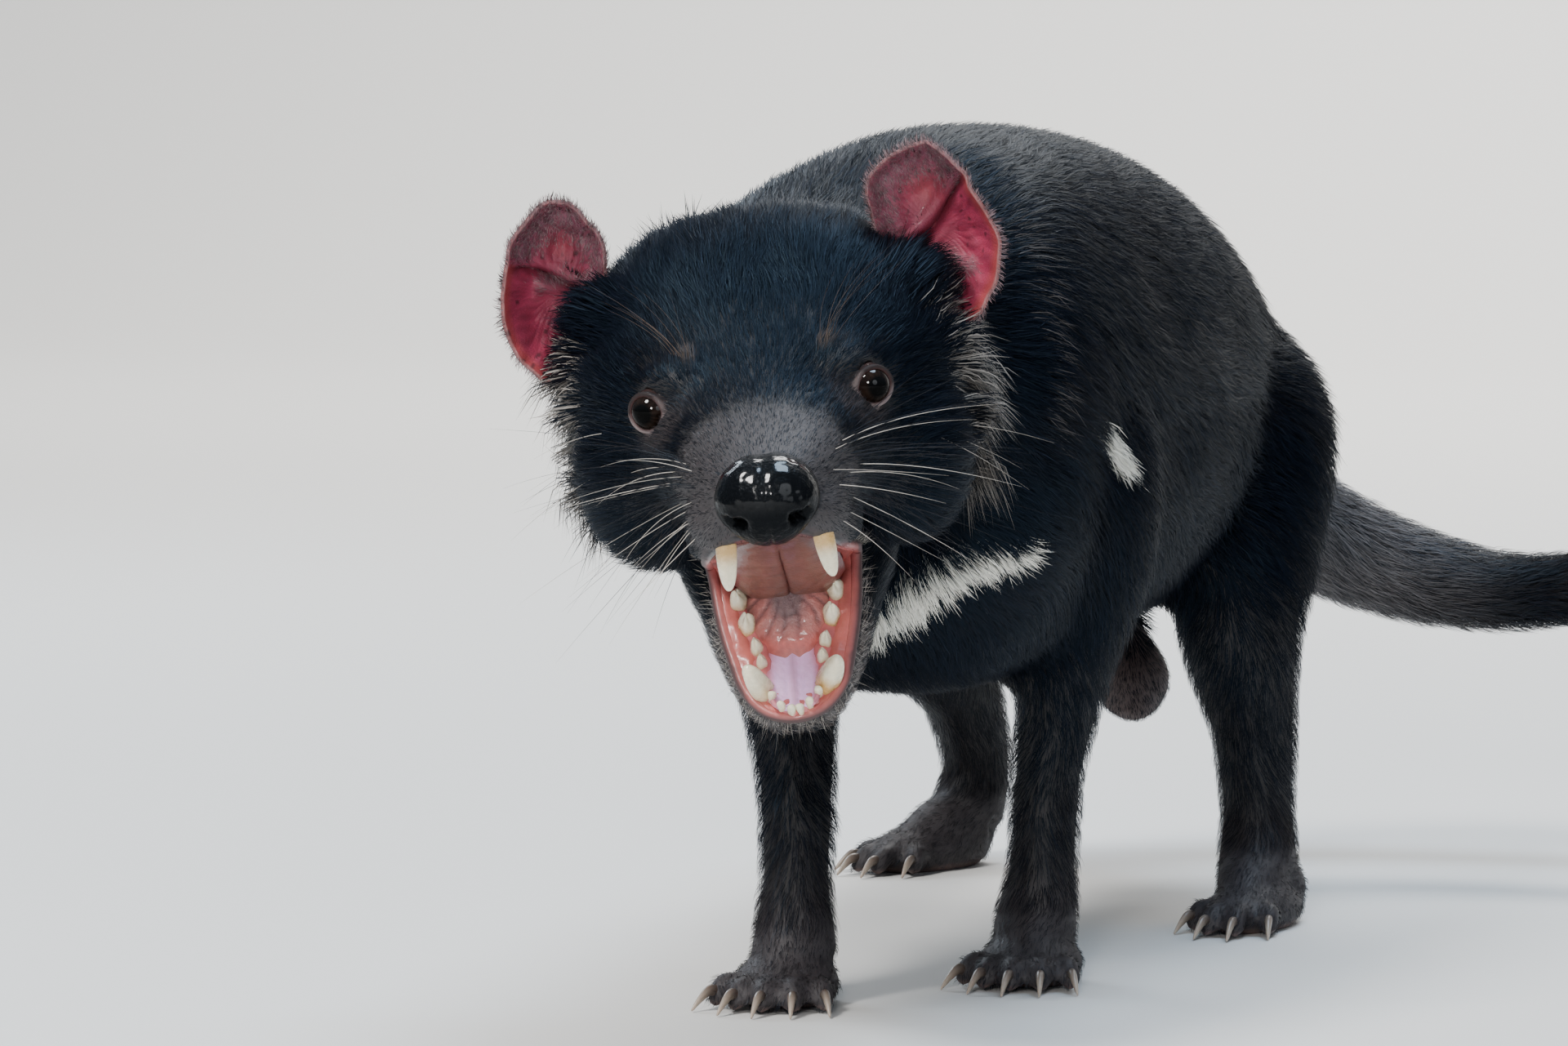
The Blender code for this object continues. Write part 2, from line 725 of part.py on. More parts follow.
def upper_teeth(generator):
    """Canines, four incisors a side and the cheek teeth of the upper jaw."""
    frame = head_matrix()
    made = []
    for side in (LEFT, RIGHT):
        made.append(canine(frame, side, UPPER_CANINE, UPPER_CANINE_WAY, CANINE_LENGTH, UPPER_CANINE_BEND))
        made += incisors(generator, frame, side, UPPER_INCISOR, UPPER_INCISOR_STEP, UPPER_ARC,
                         UPPER_INCISOR_WAY, UPPER_INCISORS, UPPER_INCISOR_LENGTH)
        made += cheek_teeth(generator, frame, side, UPPER_CHEEK_ROW, Vector((0, 0, -1)))
    return made


def lower_teeth(generator):
    """Canines, three incisors a side and the cheek teeth of the lower jaw."""
    jaw = head_matrix() @ jaw_matrix()
    made = []
    for side in (LEFT, RIGHT):
        made.append(canine(jaw, side, LOWER_CANINE, LOWER_CANINE_WAY, LOWER_CANINE_LENGTH, LOWER_CANINE_BEND))
        made += incisors(generator, jaw, side, LOWER_INCISOR, LOWER_INCISOR_STEP, LOWER_ARC,
                         LOWER_INCISOR_WAY, LOWER_INCISORS, LOWER_INCISOR_LENGTH)
        made += cheek_teeth(generator, jaw, side, LOWER_CHEEK_ROW, Vector((0, 0, 1)))
    return made


def lock(matrix, root, reach, width, side):
    """One flat tapered lock that leaves the cheek, bends down and ends in a point."""
    forward = reach.normalized()
    across = forward.cross(Vector((0, 1, 0))).normalized()
    flat = forward.cross(across).normalized()
    rings = []
    for share, wide in LOCK_STATIONS:
        sag = LOCK_SAG * max(share, 0.0) ** 2
        centre = root + reach * share - Vector((0, 0, sag))
        ring = []
        for over, out in ((1, 0), (0, 1), (-1, 0), (0, -1)):
            offset = across * (over * width * wide) + flat * (out * LOCK_THICK * wide)
            ring.append(matrix @ mirrored(centre + offset, side))
        rings.append(ring)
    return loft("lock", rings)


def ruff(generator):
    """The locks of both cheeks, from below the ear down to the corner of the jaw."""
    frame = head_matrix()
    locks = []
    for side in (LEFT, RIGHT):
        for index in range(RUFF_LOCKS):
            share = index / (RUFF_LOCKS - 1)
            high = between(RUFF_TOP, RUFF_MIDDLE, share)
            root = between(high, between(RUFF_MIDDLE, RUFF_BOTTOM, share), share)
            reach = between(RUFF_TOP_REACH, RUFF_BOTTOM_REACH, share) * varied(generator, 1.0)
            locks.append(lock(frame, root, reach, varied(generator, LOCK_WIDTH), side))
    return locks


def plane_box(name, matrix, size=0.3):
    """A large box on the +Y side of a frame's XZ plane."""
    return box(name, matrix @ Matrix.Translation((0, size / 2, 0)), (size, size, size))


def head_parts(looks):
    """Head, lower jaw, tongue, nose and eyes."""
    generator = random.Random(7)
    frame = head_matrix()
    shape = skull_shape()
    cut(shape, mouth_hollows())
    thin_out(shape, HEAD_TRIANGLES)
    trim_back = plane_box("trim", frame @ Matrix.Translation((0, HEAD_BACK - GAP / 2, 0)))
    forward = Matrix.Rotation(HALF_TURN, 4, "Z")
    trim_front = plane_box("trim", frame @ Matrix.Translation((0, NOSE_BACK, 0)) @ forward)
    cut(shape, [trim_back, trim_front])
    keep_largest(shape)
    rim = closed_tube("lips", lip_line(), LIP_THICK, 6)
    unite(shape, [rim, lid(LEFT), lid(RIGHT)] + ruff(generator))
    sockets = []
    for side, name in ((LEFT, "left"), (RIGHT, "right")):
        place = frame @ gaze_frame(side)
        sockets.append(ball("socket", Vector(), (EYE_RADIUS + GAP,) * 3, place))
        eye = ball("eye", Vector(), (EYE_RADIUS,) * 3, place)
        finish(eye, "eye_" + name, looks["eye"])
    cut(shape, sockets)
    keep_largest(shape)
    rise = math.atan2(JAW_HINGE.z - MOUTH_CORNER.z, JAW_HINGE.y - MOUTH_CORNER.y)
    corner = Vector((0, MOUTH_CORNER.y - PARTING_LEAD, MOUTH_CORNER.z))
    parting = frame @ Matrix.Translation(corner) @ Matrix.Rotation(rise, 4, "X")
    size = (PARTING_BOX,) * 3
    away = PARTING_BOX / 2
    lower = copy_of(shape, "lower_jaw")
    shift_up = Matrix.Translation((0, away - PARTING_FRONT, away - GAP / 2))
    shift_down = Matrix.Translation((0, away - PARTING_FRONT, GAP / 2 - away))
    cut(lower, [box("above", parting @ shift_up, size)])
    cut(shape, [box("below", parting @ shift_down, size)])
    keep_island(lower, lambda group: -middle_of(group).z if len(group) > SMALL_SCRAP else -10)
    keep_island(shape, lambda group: middle_of(group).z if len(group) > SMALL_SCRAP else -10)
    unite(shape, upper_teeth(generator))
    unite(lower, lower_teeth(generator))
    finish(shape, "head", looks["coat"])
    finish(lower, "lower_jaw", looks["coat"])
    tongue(looks, [shape, lower])
    nose(looks, shape)
    return shape


def tongue(looks, neighbours):
    """A broad tongue that fills the floor of the mouth and humps at its back."""
    jaw = head_matrix() @ jaw_matrix()
    made = lofted_rows("tongue", TONGUE_ROWS, jaw, direction=-1.0, steps=2)
    thin_out(made, TONGUE_TRIANGLES)
    cut(made, [grown(neighbour, "clear") for neighbour in neighbours])
    finish(made, "tongue", looks["mouth"])


def nose(looks, head):
    """The bare nose pad, cut clear of the head behind it, with two nostrils."""
    frame = head_matrix()
    rings = []
    across = frame.to_3x3() @ Vector((1, 0, 0))
    upward = frame.to_3x3() @ Vector((0, 0, 1))
    for step in range(6):
        share = step / 5
        size = math.sqrt(max(1 - (share * 0.97) ** 2.6, 0.0))
        drop = NOSE_HALF_HEIGHT * (0.25 + 0.75 * size)
        centre = frame @ Vector((0, NOSE_BACK - GAP - NOSE_DEPTH * share, NOSE_MIDDLE))
        rise = NOSE_HALF_HEIGHT * size
        rings.append(oval(centre, across, upward, NOSE_HALF_WIDTH * size, rise, drop * size, 20, 2.3))
    made = loft("nose", rings)
    cut(made, [grown(head, "clear")])
    pits = []
    for side in (LEFT, RIGHT):
        tilt = frame @ Matrix.Translation(mirrored(NOSTRIL_PLACE, side)) @ Matrix.Rotation(0.5 * side, 4, "Y")
        pits.append(ball("nostril", Vector(), NOSTRIL_RADII, tilt, 10, 6))
    cut(made, pits)
    finish(made, "nose", looks["nose"])


def ear(side, name, looks, head):
    """A thin cupped oval, open to the front, cut clear of the head at its root."""
    frame = head_matrix()
    middle = mirrored(EAR_MIDDLE, side)
    bm = bmesh.new()
    centre = bm.verts.new(frame @ (middle + Vector((0, EAR_CUP, 0))))
    previous = [centre] * EAR_SIDES
    for step in range(1, EAR_RINGS + 1):
        share = step / EAR_RINGS
        ring = []
        for index in range(EAR_SIDES):
            angle = 2 * HALF_TURN * index / EAR_SIDES
            c = math.cos(angle)
            s = math.sin(angle)
            wide = EAR_OUT if c > 0 else EAR_IN[name]
            tall = EAR_RISE[name] if s > 0 else EAR_DROP
            depth = EAR_CUP * (1 - share ** 2) - EAR_CURL * share ** 2 * c
            lean = -s * tall * share * EAR_LEAN
            point = Vector(((c * wide * share + lean) * side, depth, s * tall * share))
            ring.append(bm.verts.new(frame @ (middle + point)))
        for index in range(EAR_SIDES):
            after = (index + 1) % EAR_SIDES
            if step == 1:
                bm.faces.new((centre, ring[index], ring[after]))
            else:
                bm.faces.new((previous[index], previous[after], ring[after], ring[index]))
        previous = ring
    made = object_from(bm, "ear")
    shell = made.modifiers.new("shell", "SOLIDIFY")
    shell.thickness = EAR_THICK
    shell.offset = 0.0
    bake(made)
    cut(made, [grown(head, "clear")])
    finish(made, "ear_" + name, looks["ear"])


def body_shape():
    """Neck, trunk, upper legs, lower legs and tail, fused."""
    world = Matrix.Identity(4)
    pieces = [lofted_rows("trunk", TRUNK_ROWS, world), neck_piece()]
    for legs in (FORE_LEGS, HIND_LEGS):
        for rows in legs.values():
            pieces.append(smooth_tube("leg", rows))
    pieces.append(smooth_tube("tail", TAIL_POINTS))
    pieces.append(ball("scrotum", SCROTUM_PLACE, SCROTUM_RADII))
    stalk = [SCROTUM_NECK, between(SCROTUM_NECK, SCROTUM_PLACE, 0.5), SCROTUM_PLACE]
    pieces.append(tube("stalk", stalk, [SCROTUM_NECK_THICK] * 3))
    return remesh(join("body", pieces), BODY_VOXEL, passes=5)


def neck_piece():
    """From the shoulders to just inside the head, ending in the head's own outline."""
    frame = head_matrix()
    turn = frame.to_3x3()
    back, middle, half_width, rise, drop = SKULL_ROWS[-2]
    end = frame @ Vector((0, back - NECK_INTO_HEAD, middle))
    steps = 6
    rings = []
    for step in range(steps + 1):
        share = step / steps
        across = Vector((1, 0, 0)).lerp(turn @ Vector((1, 0, 0)), share).normalized()
        upward = Vector((0, 0, 1)).lerp(turn @ Vector((0, 0, 1)), share).normalized()
        ease = share * share * (3 - 2 * share)
        wide = between(NECK_ROOT_HALF_WIDTH, half_width, ease)
        high = between(NECK_ROOT_HALF_HEIGHT, rise, ease)
        low = between(NECK_ROOT_HALF_HEIGHT, drop, ease)
        rings.append(oval(NECK_ROOT.lerp(end, share), across, upward, wide, high, low))
    return loft("neck", rings)


def slab(place, normal, half_size):
    """A thin square plate, one gap thick, across a limb."""
    turn = normal.normalized().to_track_quat("Z", "Y").to_matrix().to_4x4()
    return box("slab", Matrix.Translation(place) @ turn, (2 * half_size, 2 * half_size, GAP))


def body_parts(looks):
    """The body, parted where a person would name its parts."""
    frame = head_matrix()
    shape = body_shape()
    thin_out(shape, BODY_TRIANGLES)
    neck_front = frame @ Matrix.Translation((0, HEAD_BACK + GAP / 2, 0)) @ Matrix.Rotation(HALF_TURN, 4, "Z")
    cut(shape, [plane_box("trim", neck_front, 0.2)])
    tail_root = between(TAIL_POINTS[1][0], TAIL_POINTS[2][0], 0.5)
    cut(shape, [
        slab(NECK_CUT_PLACE, NECK_CUT_WAY, NECK_PLATE),
        slab(tail_root, TAIL_POINTS[2][0] - TAIL_POINTS[1][0], TAIL_PLATE),
        slab(between(SCROTUM_NECK, SCROTUM_PLACE, SCROTUM_CUT), Vector((0, 0, 1)), SCROTUM_PLATE),
    ])
    cells = []
    for side, name in ((LEFT, "left"), (RIGHT, "right")):
        for kind, legs, inner in (("fore", FORE_LEGS, FORE_LEG_INNER), ("hind", HIND_LEGS, HIND_LEG_INNER)):
            rows = legs[name]
            leg = copy_of(shape, "leg")
            combine(leg, [leg_cell(side, rows, inner, ankle_height(rows) + GAP / 2)], "INTERSECT")
            keep_largest(leg)
            finish(leg, kind + "_leg_" + name, looks["coat"])
            cells.append(leg_cell(side, rows, inner, -WELL_OUTSIDE, GAP))
    cut(shape, cells)
    seeds = {"torso": TORSO_SEED, "neck": NECK_SEED, "tail": TAIL_POINTS[4][0], "scrotum": SCROTUM_PLACE}
    for name, place in seeds.items():
        part = copy_of(shape, name)
        keep_island(part, lambda group: -(middle_of(group) - place).length)
        finish(part, name, looks["coat"])
    discard([shape])


def ankle_height(rows):
    """Where a leg ends and its foot begins."""
    return between(rows[-2][0], rows[-1][0], ANKLE_CUT).z


def leg_cell(side, rows, inner, bottom, slack=0.0):
    """The space that one leg has to itself below the trunk."""
    low = [(inner - slack, bottom), (WELL_OUTSIDE, bottom)]
    high = []
    for out in (WELL_OUTSIDE, inner - slack):
        high.append((out, LEG_CUT_HEIGHT + LEG_CUT_SLANT * (out - LEG_CUT_OUT) + slack * 1.1))
    front = min(place.y - depth for place, width, depth in rows[3:]) - LEG_CUT_MARGIN - slack
    rear = max(place.y + depth for place, width, depth in rows[3:]) + LEG_CUT_MARGIN + slack
    rings = [[Vector((side * x, y, z)) for x, z in low + high] for y in (front, rear)]
    return loft("cell", rings)


def foot(kind, name, place, turn, sizes, ankle, looks):
    """Palm or sole, toes and claws, cut flat at the ground and at the ankle."""
    frame = Matrix.Translation(place) @ Matrix.Rotation(turn, 4, "Z")
    width = sizes["half_width"]
    length = sizes["half_length"]
    height = sizes["height"]
    toes = sizes["toes"]
    thick = sizes["toe_thick"]
    pieces = [ball("palm", Vector((0, 0, height * 0.36)), (width, length, height * 0.62), frame)]
    claws = []
    for index in range(toes):
        share = index / (toes - 1) * 2 - 1
        angle = share * sizes["spread"]
        way = Vector((math.sin(angle), -math.cos(angle), 0))
        long = sizes["toe_length"] * (1 - 0.22 * share * share)
        start = Vector((share * (width - thick), -length * (0.72 - 0.25 * share * share), thick * 1.25))
        middle = start + way * long * 0.55 + Vector((0, 0, thick * 0.45))
        end = start + way * long + Vector((0, 0, -thick * 0.45))
        line = (start - way * thick, start, middle, end, end + way * thick * 0.7)
        radii = [thick * part for part in (1.0, 1.05, 1.0, 0.95, 0.45)]
        pieces.append(tube("toe", [frame @ point for point in line], radii, 12))
        claw_root = end + Vector((0, 0, thick * 0.30))
        rise = Vector((0, 0, thick * 0.35))
        fall = Vector((0, 0, CLAW_OFF_GROUND - claw_root.z))
        reach = sizes["claw"]
        curve = (claw_root - way * thick * 0.5, claw_root + way * reach * 0.25 + rise * 0.7,
                 claw_root + way * reach * 0.65 + rise * 0.2 + fall * 0.35, claw_root + way * reach + fall)
        radii = [CLAW_THICK, CLAW_THICK, CLAW_THICK * 0.75, CLAW_THICK * 0.22]
        claws.append(tube("claw", [frame @ point for point in curve], radii, 6))
    pieces.append(smooth_tube("ankle", ankle, steps=2))
    instep = frame @ Vector((0, -length * 0.45, height * 0.5))
    low, half_width = ankle[-1][:2]
    line = [low, between(low, instep, 0.5), instep]
    pieces.append(tube("instep", line, [half_width, half_width * 0.85, height * 0.42], 12))
    made = remesh(join("foot", pieces), FOOT_VOXEL, passes=2)
    thin_out(made, FOOT_TRIANGLES)
    unite(made, claws)
    top = ankle_height(ankle) - GAP / 2
    cap = 0.12
    over = Matrix.Translation((place.x, place.y, top + cap / 2))
    under = Matrix.Translation((place.x, place.y, -cap / 2))
    cut(made, [box("over", over, (cap * 2, cap * 2, cap)), box("under", under, (cap * 2, cap * 2, cap))])
    finish(made, kind + "_foot_" + name, looks["foot"])


def centre_model():
    """Put the middle of the model's floor outline at the origin."""
    parts = collection(MODEL_NAME).objects
    low = Vector((9, 9, 9))
    high = Vector((-9, -9, -9))
    for part in parts:
        for vertex in part.data.vertices:
            low = Vector(map(min, low, vertex.co))
            high = Vector(map(max, high, vertex.co))
    shift = Matrix.Translation((-(low.x + high.x) / 2, -(low.y + high.y) / 2, -low.z))
    for part in parts:
        part.data.transform(shift)


def main():
    empty_the_scene()
    looks = {
        "coat": material("coat", (0.012, 0.012, 0.016), 0.75),
        "ear": material("bare_ear", (0.42, 0.10, 0.12), 0.6),
        "eye": material("eye", (0.01, 0.008, 0.008), 0.08),
        "nose": material("nose_pad", (0.012, 0.012, 0.015), 0.25),
        "mouth": material("mouth", (0.55, 0.16, 0.13), 0.35),
        "foot": material("bare_foot", (0.11, 0.09, 0.08), 0.7),
    }
    head = head_parts(looks)
    for side, name in ((LEFT, "left"), (RIGHT, "right")):
        ear(side, name, looks, head)
    body_parts(looks)
    for name in ("left", "right"):
        place, turn = FORE_FEET[name]
        foot("fore", name, place, turn, FORE_FOOT, FORE_LEGS[name][-3:], looks)
        place, turn = HIND_FEET[name]
        foot("hind", name, place, turn, HIND_FOOT, HIND_LEGS[name][-3:], looks)
    scratch = bpy.data.collections.get(SCRATCH_NAME)
    discard(list(scratch.objects))
    bpy.data.collections.remove(scratch)
    centre_model()


main()
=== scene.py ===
"""A Tasmanian devil that stands with its jaws open: skin, coat, face, teeth and feet."""

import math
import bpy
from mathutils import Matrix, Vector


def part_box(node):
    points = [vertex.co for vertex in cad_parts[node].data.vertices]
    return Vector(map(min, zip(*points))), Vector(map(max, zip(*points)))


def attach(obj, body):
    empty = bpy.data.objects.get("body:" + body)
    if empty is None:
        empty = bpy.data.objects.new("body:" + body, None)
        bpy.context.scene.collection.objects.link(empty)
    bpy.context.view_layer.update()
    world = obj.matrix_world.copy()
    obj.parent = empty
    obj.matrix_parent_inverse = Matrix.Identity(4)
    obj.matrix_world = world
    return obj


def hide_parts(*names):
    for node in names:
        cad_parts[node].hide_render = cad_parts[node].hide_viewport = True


bl_info = {
    "name": "Tasmanian Devil",
    "version": (1, 0, 0),
    "blender": (4, 5, 0),
    "location": "3D View > Sidebar > Devil",
    "description": "Dresses the solids of a Tasmanian devil in skin, coat, eyes, teeth and claws",
    "category": "Object",
}

import bmesh
import bpy
import numpy as np
from bpy.props import FloatProperty, FloatVectorProperty, IntProperty, PointerProperty
from mathutils import Matrix, Vector
from mathutils.bvhtree import BVHTree
from mathutils.kdtree import KDTree

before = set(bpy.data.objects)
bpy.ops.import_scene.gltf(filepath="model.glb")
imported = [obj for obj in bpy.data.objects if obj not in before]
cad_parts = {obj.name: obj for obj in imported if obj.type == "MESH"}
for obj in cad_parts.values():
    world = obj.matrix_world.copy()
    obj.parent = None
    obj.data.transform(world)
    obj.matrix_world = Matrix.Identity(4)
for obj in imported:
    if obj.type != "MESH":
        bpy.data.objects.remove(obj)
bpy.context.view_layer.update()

LEFT = 1.0
RIGHT = -1.0
SIDES = ((LEFT, "left"), (RIGHT, "right"))
HALF_TURN = math.pi

# The head's own frame: its origin is midway between the eyes and its nose points along -Y.
HEAD_TURN = (
    Matrix.Rotation(math.radians(15.0), 3, "Z")
    @ Matrix.Rotation(math.radians(7.0), 3, "X")
    @ Matrix.Rotation(math.radians(-7.0), 3, "Y")
)
EYE_PLACE = Vector((0.033, 0.003, 0.0))
EYE_RADIUS = 0.007
EYE_TURN = math.radians(30.0)


def mm(rows):
    """Rows of millimetres, rounded so that each is the same number as when written in metres."""
    return np.round(np.array(rows, float) / 1000, 7)


def middle_of_nodes(*names):
    """The middle of some nodes of the solids."""
    corners = [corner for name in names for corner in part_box(name)]
    return sum(corners, Vector()) / len(corners)


HEAD_PLACE = middle_of_nodes("eye_left", "eye_right") - HEAD_TURN @ Vector((0, EYE_PLACE.y, 0))
HEAD = Matrix.Translation(HEAD_PLACE) @ HEAD_TURN.to_4x4()
# The body is laid out in a frame of its own, from which this is the way to the object's.
BODY = Matrix.Translation(HEAD_PLACE - Vector((0.0019, -0.1583, 0.2076)))
# Jaw frame: from the hinge to the chin along -Y, up is out of the jaw.
JAW_HINGE = Vector((0.0, 0.05, -0.02))
GAPE_LINE = math.radians(45.0)
JAW = HEAD @ Matrix.Translation(JAW_HINGE) @ Matrix.Rotation(GAPE_LINE, 4, "X")

# Head rows: place back, middle height, half width, rise above it, drop below it.
SKULL_ROWS = mm((
    (-52, -22, 14, 11, 10.8),
    (-42, -21.5, 19.5, 15, 14.8),
    (-28, -20.5, 25.5, 19.5, 21.5),
    (-12, -18, 32, 25.5, 26),
    (2, -14, 40, 31, 30),
    (20, -9, 50, 39, 34),
    (40, -4, 57, 45.5, 40),
    (62, 0, 59, 48, 48),
    (82, 0, 58, 48, 54),
    (98, 0, 55, 46, 54),
))
# Jaw rows: distance from the hinge, middle height, half width, rise, drop.
JAW_ROWS = mm((
    (4, -20, 36, 15, 30),
    (35, -16.5, 35, 15, 27),
    (58, -12, 29, 11, 21),
    (78, -9, 24, 8.5, 16.5),
    (94, -8, 17.6, 7.5, 12.5),
    (102.8, -7.8, 10.8, 6.2, 8.5),
))
# Rounded pads of the head: place, radii.
HEAD_PADS = mm((
    ((34, 35, -26), (25.5, 34, 30)),
    ((23, 9, 7), (15, 15, 9.5)),
    ((15, -33, -29), (10.5, 16.5, 10.5)),
    ((19, -13, -37), (8.5, 24, 9.5)),
))
# Hollows of the mouth: matrix, place, radii.
ROOF_TILT = Matrix.Rotation(math.radians(10.0), 4, "X")
MOUTH_HOLLOWS = (
    (HEAD @ ROOF_TILT, (0.0, -0.008, -0.04), (0.0175, 0.034, 0.0095)),
    (JAW, (0.0, -0.068, 0.001), (0.0138, 0.033, 0.011)),
    (HEAD, (0.0, 0.012, -0.052), (0.021, 0.019, 0.016)),
)
# How far the line of sight moves across X and up Z of the head's frame for each step back.
SIGHT_SLOPES = ((0, 0.0591), (2, 0.1886))
LIP_UPPER = mm((
    (0, -47, -32.5),
    (11.5, -44.5, -33.8),
    (17.5, -36.5, -38.5),
    (20.5, -24, -43),
    (22.2, -8, -47),
    (22.8, 11, -51),
))
# The lower lip, in the jaw's frame.
LIP_LOWER = mm((
    (22.2, -53, 1),
    (20.8, -68, -1),
    (18.3, -81, -2),
    (15, -93, -3),
    (8.8, -101.2, -3.3),
    (0, -104, -3.3),
))

# Trunk rows: place back, middle height, half width, rise, drop.
TRUNK_ROWS = mm((
    (-64, 186, 40, 40, 42),
    (-45, 192, 58, 66, 68),
    (-10, 194, 69, 89, 90),
    (50, 195, 74, 95, 95),
    (130, 195, 78, 94.5, 92),
    (200, 193, 77, 89, 86),
    (260, 189, 72, 76, 77),
    (305, 180, 64, 63, 68),
    (338, 170, 48, 46, 52),
    (354, 166, 28, 27, 30),
))
NECK_ROOT = Vector((0.0, 0.01, 0.2))
NECK_ROOT_HALF_WIDTH = 0.068
NECK_ROOT_HALF_HEIGHT = 0.083
# Legs: x, y, z, half width, half depth, from the shoulder or hip to the ankle.
LEGS = {
    "fore_left": mm((
        (34, 25, 215, 22, 38),
        (50, 35, 185, 27, 44),
        (51, 50, 150, 25, 36),
        (40.5, 66, 108, 18, 21.5),
        (34, 68, 68, 13.5, 15.5),
        (33, 65, 38, 13, 14),
        (31.5, 61, 16, 15.5, 14.5),
    )),
    "fore_right": mm((
        (-34, 20, 215, 22, 38),
        (-50, 22, 185, 27, 44),
        (-52, 26, 150, 25, 36),
        (-43, 18, 105, 18.5, 22),
        (-35, 2, 64, 14, 16),
        (-33, -6, 38, 13, 14),
        (-32, -11, 16, 15.5, 14.5),
    )),
    "hind_left": mm((
        (34, 272, 212, 26, 40),
        (55, 268, 180, 34, 50),
        (60, 248, 145, 30, 46),
        (65, 225, 108, 24, 33),
        (69, 232, 68, 16.5, 19),
        (69.5, 236, 40, 14.5, 16.5),
        (71.5, 228, 19, 15.5, 17),
    )),
    "hind_right": mm((
        (-34, 272, 212, 26, 40),
        (-55, 270, 180, 34, 50),
        (-62, 272, 145, 30, 46),
        (-74.5, 295, 108, 25.5, 33),
        (-72, 340, 72, 16.5, 19),
        (-71.5, 364, 42, 14.5, 16.5),
        (-74.5, 360, 19, 15, 17),
    )),
}
# Feet: x, y, turn of the toes from -Y.
FEET = {
    "fore_left": (0.0325, 0.053, 0.0),
    "fore_right": (-0.0325, -0.018, 0.0),
    "hind_left": (0.074, 0.213, -0.14),
    "hind_right": (-0.085, 0.344, -0.48),
}
FORE_FOOT = {"half_width": 0.0185, "half_length": 0.0195, "height": 0.019, "toes": 5,
             "spread": 0.46, "toe_length": 0.014, "toe_thick": 0.0048, "claw": 0.0115}
HIND_FOOT = {"half_width": 0.0158, "half_length": 0.032, "height": 0.019, "toes": 4,
             "spread": 0.34, "toe_length": 0.013, "toe_thick": 0.0048, "claw": 0.0105}
HEEL_PLACE = (0.0, 0.019, 0.0125)
HEEL_RADII = (0.0125, 0.0145, 0.012)
TAIL_POINTS = mm((
    (0, 330, 182, 27),
    (12, 364, 164, 25.5),
    (38, 392, 140, 23.5),
    (75, 409, 119, 20),
    (118, 416, 108, 16),
    (162, 415, 110, 13),
    (205, 410, 119, 10.5),
    (238, 406, 129, 7),
))
SCROTUM_PLACE = Vector((0.006, 0.302, 0.08))
SCROTUM_RADII = (0.0155, 0.0165, 0.0175)
SCROTUM_NECK = Vector((0.005, 0.295, 0.112))

# White marks, as lines on the chest and the shoulder, in the body's frame.
CHEST_BAND = mm((
    (-15, -50, 124), (1, -47, 125), (15.3, -51.3, 131.9),
    (21.5, -53.8, 137.3), (29.7, -54, 142.8), (39.6, -50.4, 146.9),
    (50, -41.2, 149.2), (56.2, -30.5, 149.6),
))
SHOULDER_SPOT = mm(((72.2, 12, 184.5), (74.8, 20, 177.5)))
# Folds of the coat where a sheen is painted into the hair as streaks of paler tufts: painted highlights, in
# the body's frame.
PAINTED_SHEEN_FOLDS = [mm(line) for line in (
    ((44.8, -22, 258.3), (54.2, -29.5, 238.8), (60.4, -32.3, 217.9), (62.1, -34.3, 196.4)),
    ((60.8, 57.2, 253.7), (68, 57.8, 237.6), (72.6, 68.2, 221.4)),
    ((74.3, 104.1, 223.1), (76.8, 135.5, 208.4), (77.8, 161.8, 195)),
)]


# Settings that a user may change

def colour_setting(name, description, colour):
    """A colour that a user may change."""
    return FloatVectorProperty(name=name, description=description, subtype="COLOR", default=colour)


class SkinSettings(bpy.types.PropertyGroup):
    fineness: FloatProperty(name="Fineness", description="Side of the cubes that fuse the skin",
                            default=0.0014, min=0.001, max=0.004, unit="LENGTH")
    faces: IntProperty(name="Faces", description="Triangles that the skin keeps", default=170000, min=20000)
    colour: colour_setting("Colour", "Skin under the coat", (0.01, 0.009, 0.01))
    muzzle: colour_setting("Muzzle", "Thinly haired skin of the muzzle", (0.033, 0.029, 0.031))
    foot: colour_setting("Feet", "Thinly haired skin of the feet", (0.034, 0.029, 0.032))


class CoatSettings(bpy.types.PropertyGroup):
    share: FloatProperty(name="Share", description="Share of the tufts that are made", default=1.0,
                         min=0.01, max=1.0, subtype="FACTOR")
    seed: IntProperty(name="Seed", description="Start of the random numbers", default=11)
    width: FloatProperty(name="Width", description="Width of one tuft at its root", default=0.00036,
                         min=0.0001, max=0.002, unit="LENGTH")
    black: colour_setting("Black", "Colour of the coat", (0.0028, 0.0038, 0.0072))
    grey: colour_setting("Grey", "Colour of the ruff's pale hairs", (0.235, 0.215, 0.195))
    white: colour_setting("White", "Colour of the white marks", (0.8, 0.78, 0.7))


class FaceSettings(bpy.types.PropertyGroup):
    ear: colour_setting("Ear", "Bare skin inside the ear", (0.3, 0.032, 0.072))
    tooth: colour_setting("Tooth", "Enamel", (0.85, 0.79, 0.6))
    whisker: FloatProperty(name="Whisker", description="Thickness of a whisker at its root",
                           default=0.00013, min=0.00005, max=0.001, unit="LENGTH")


class StageSettings(bpy.types.PropertyGroup):
    floor: colour_setting("Floor", "Colour of the floor", (0.74, 0.73, 0.71))
    light: FloatProperty(name="Light", description="Power of the main light", default=60.0, min=0.0,
                         unit="POWER")


# Curves and meshes

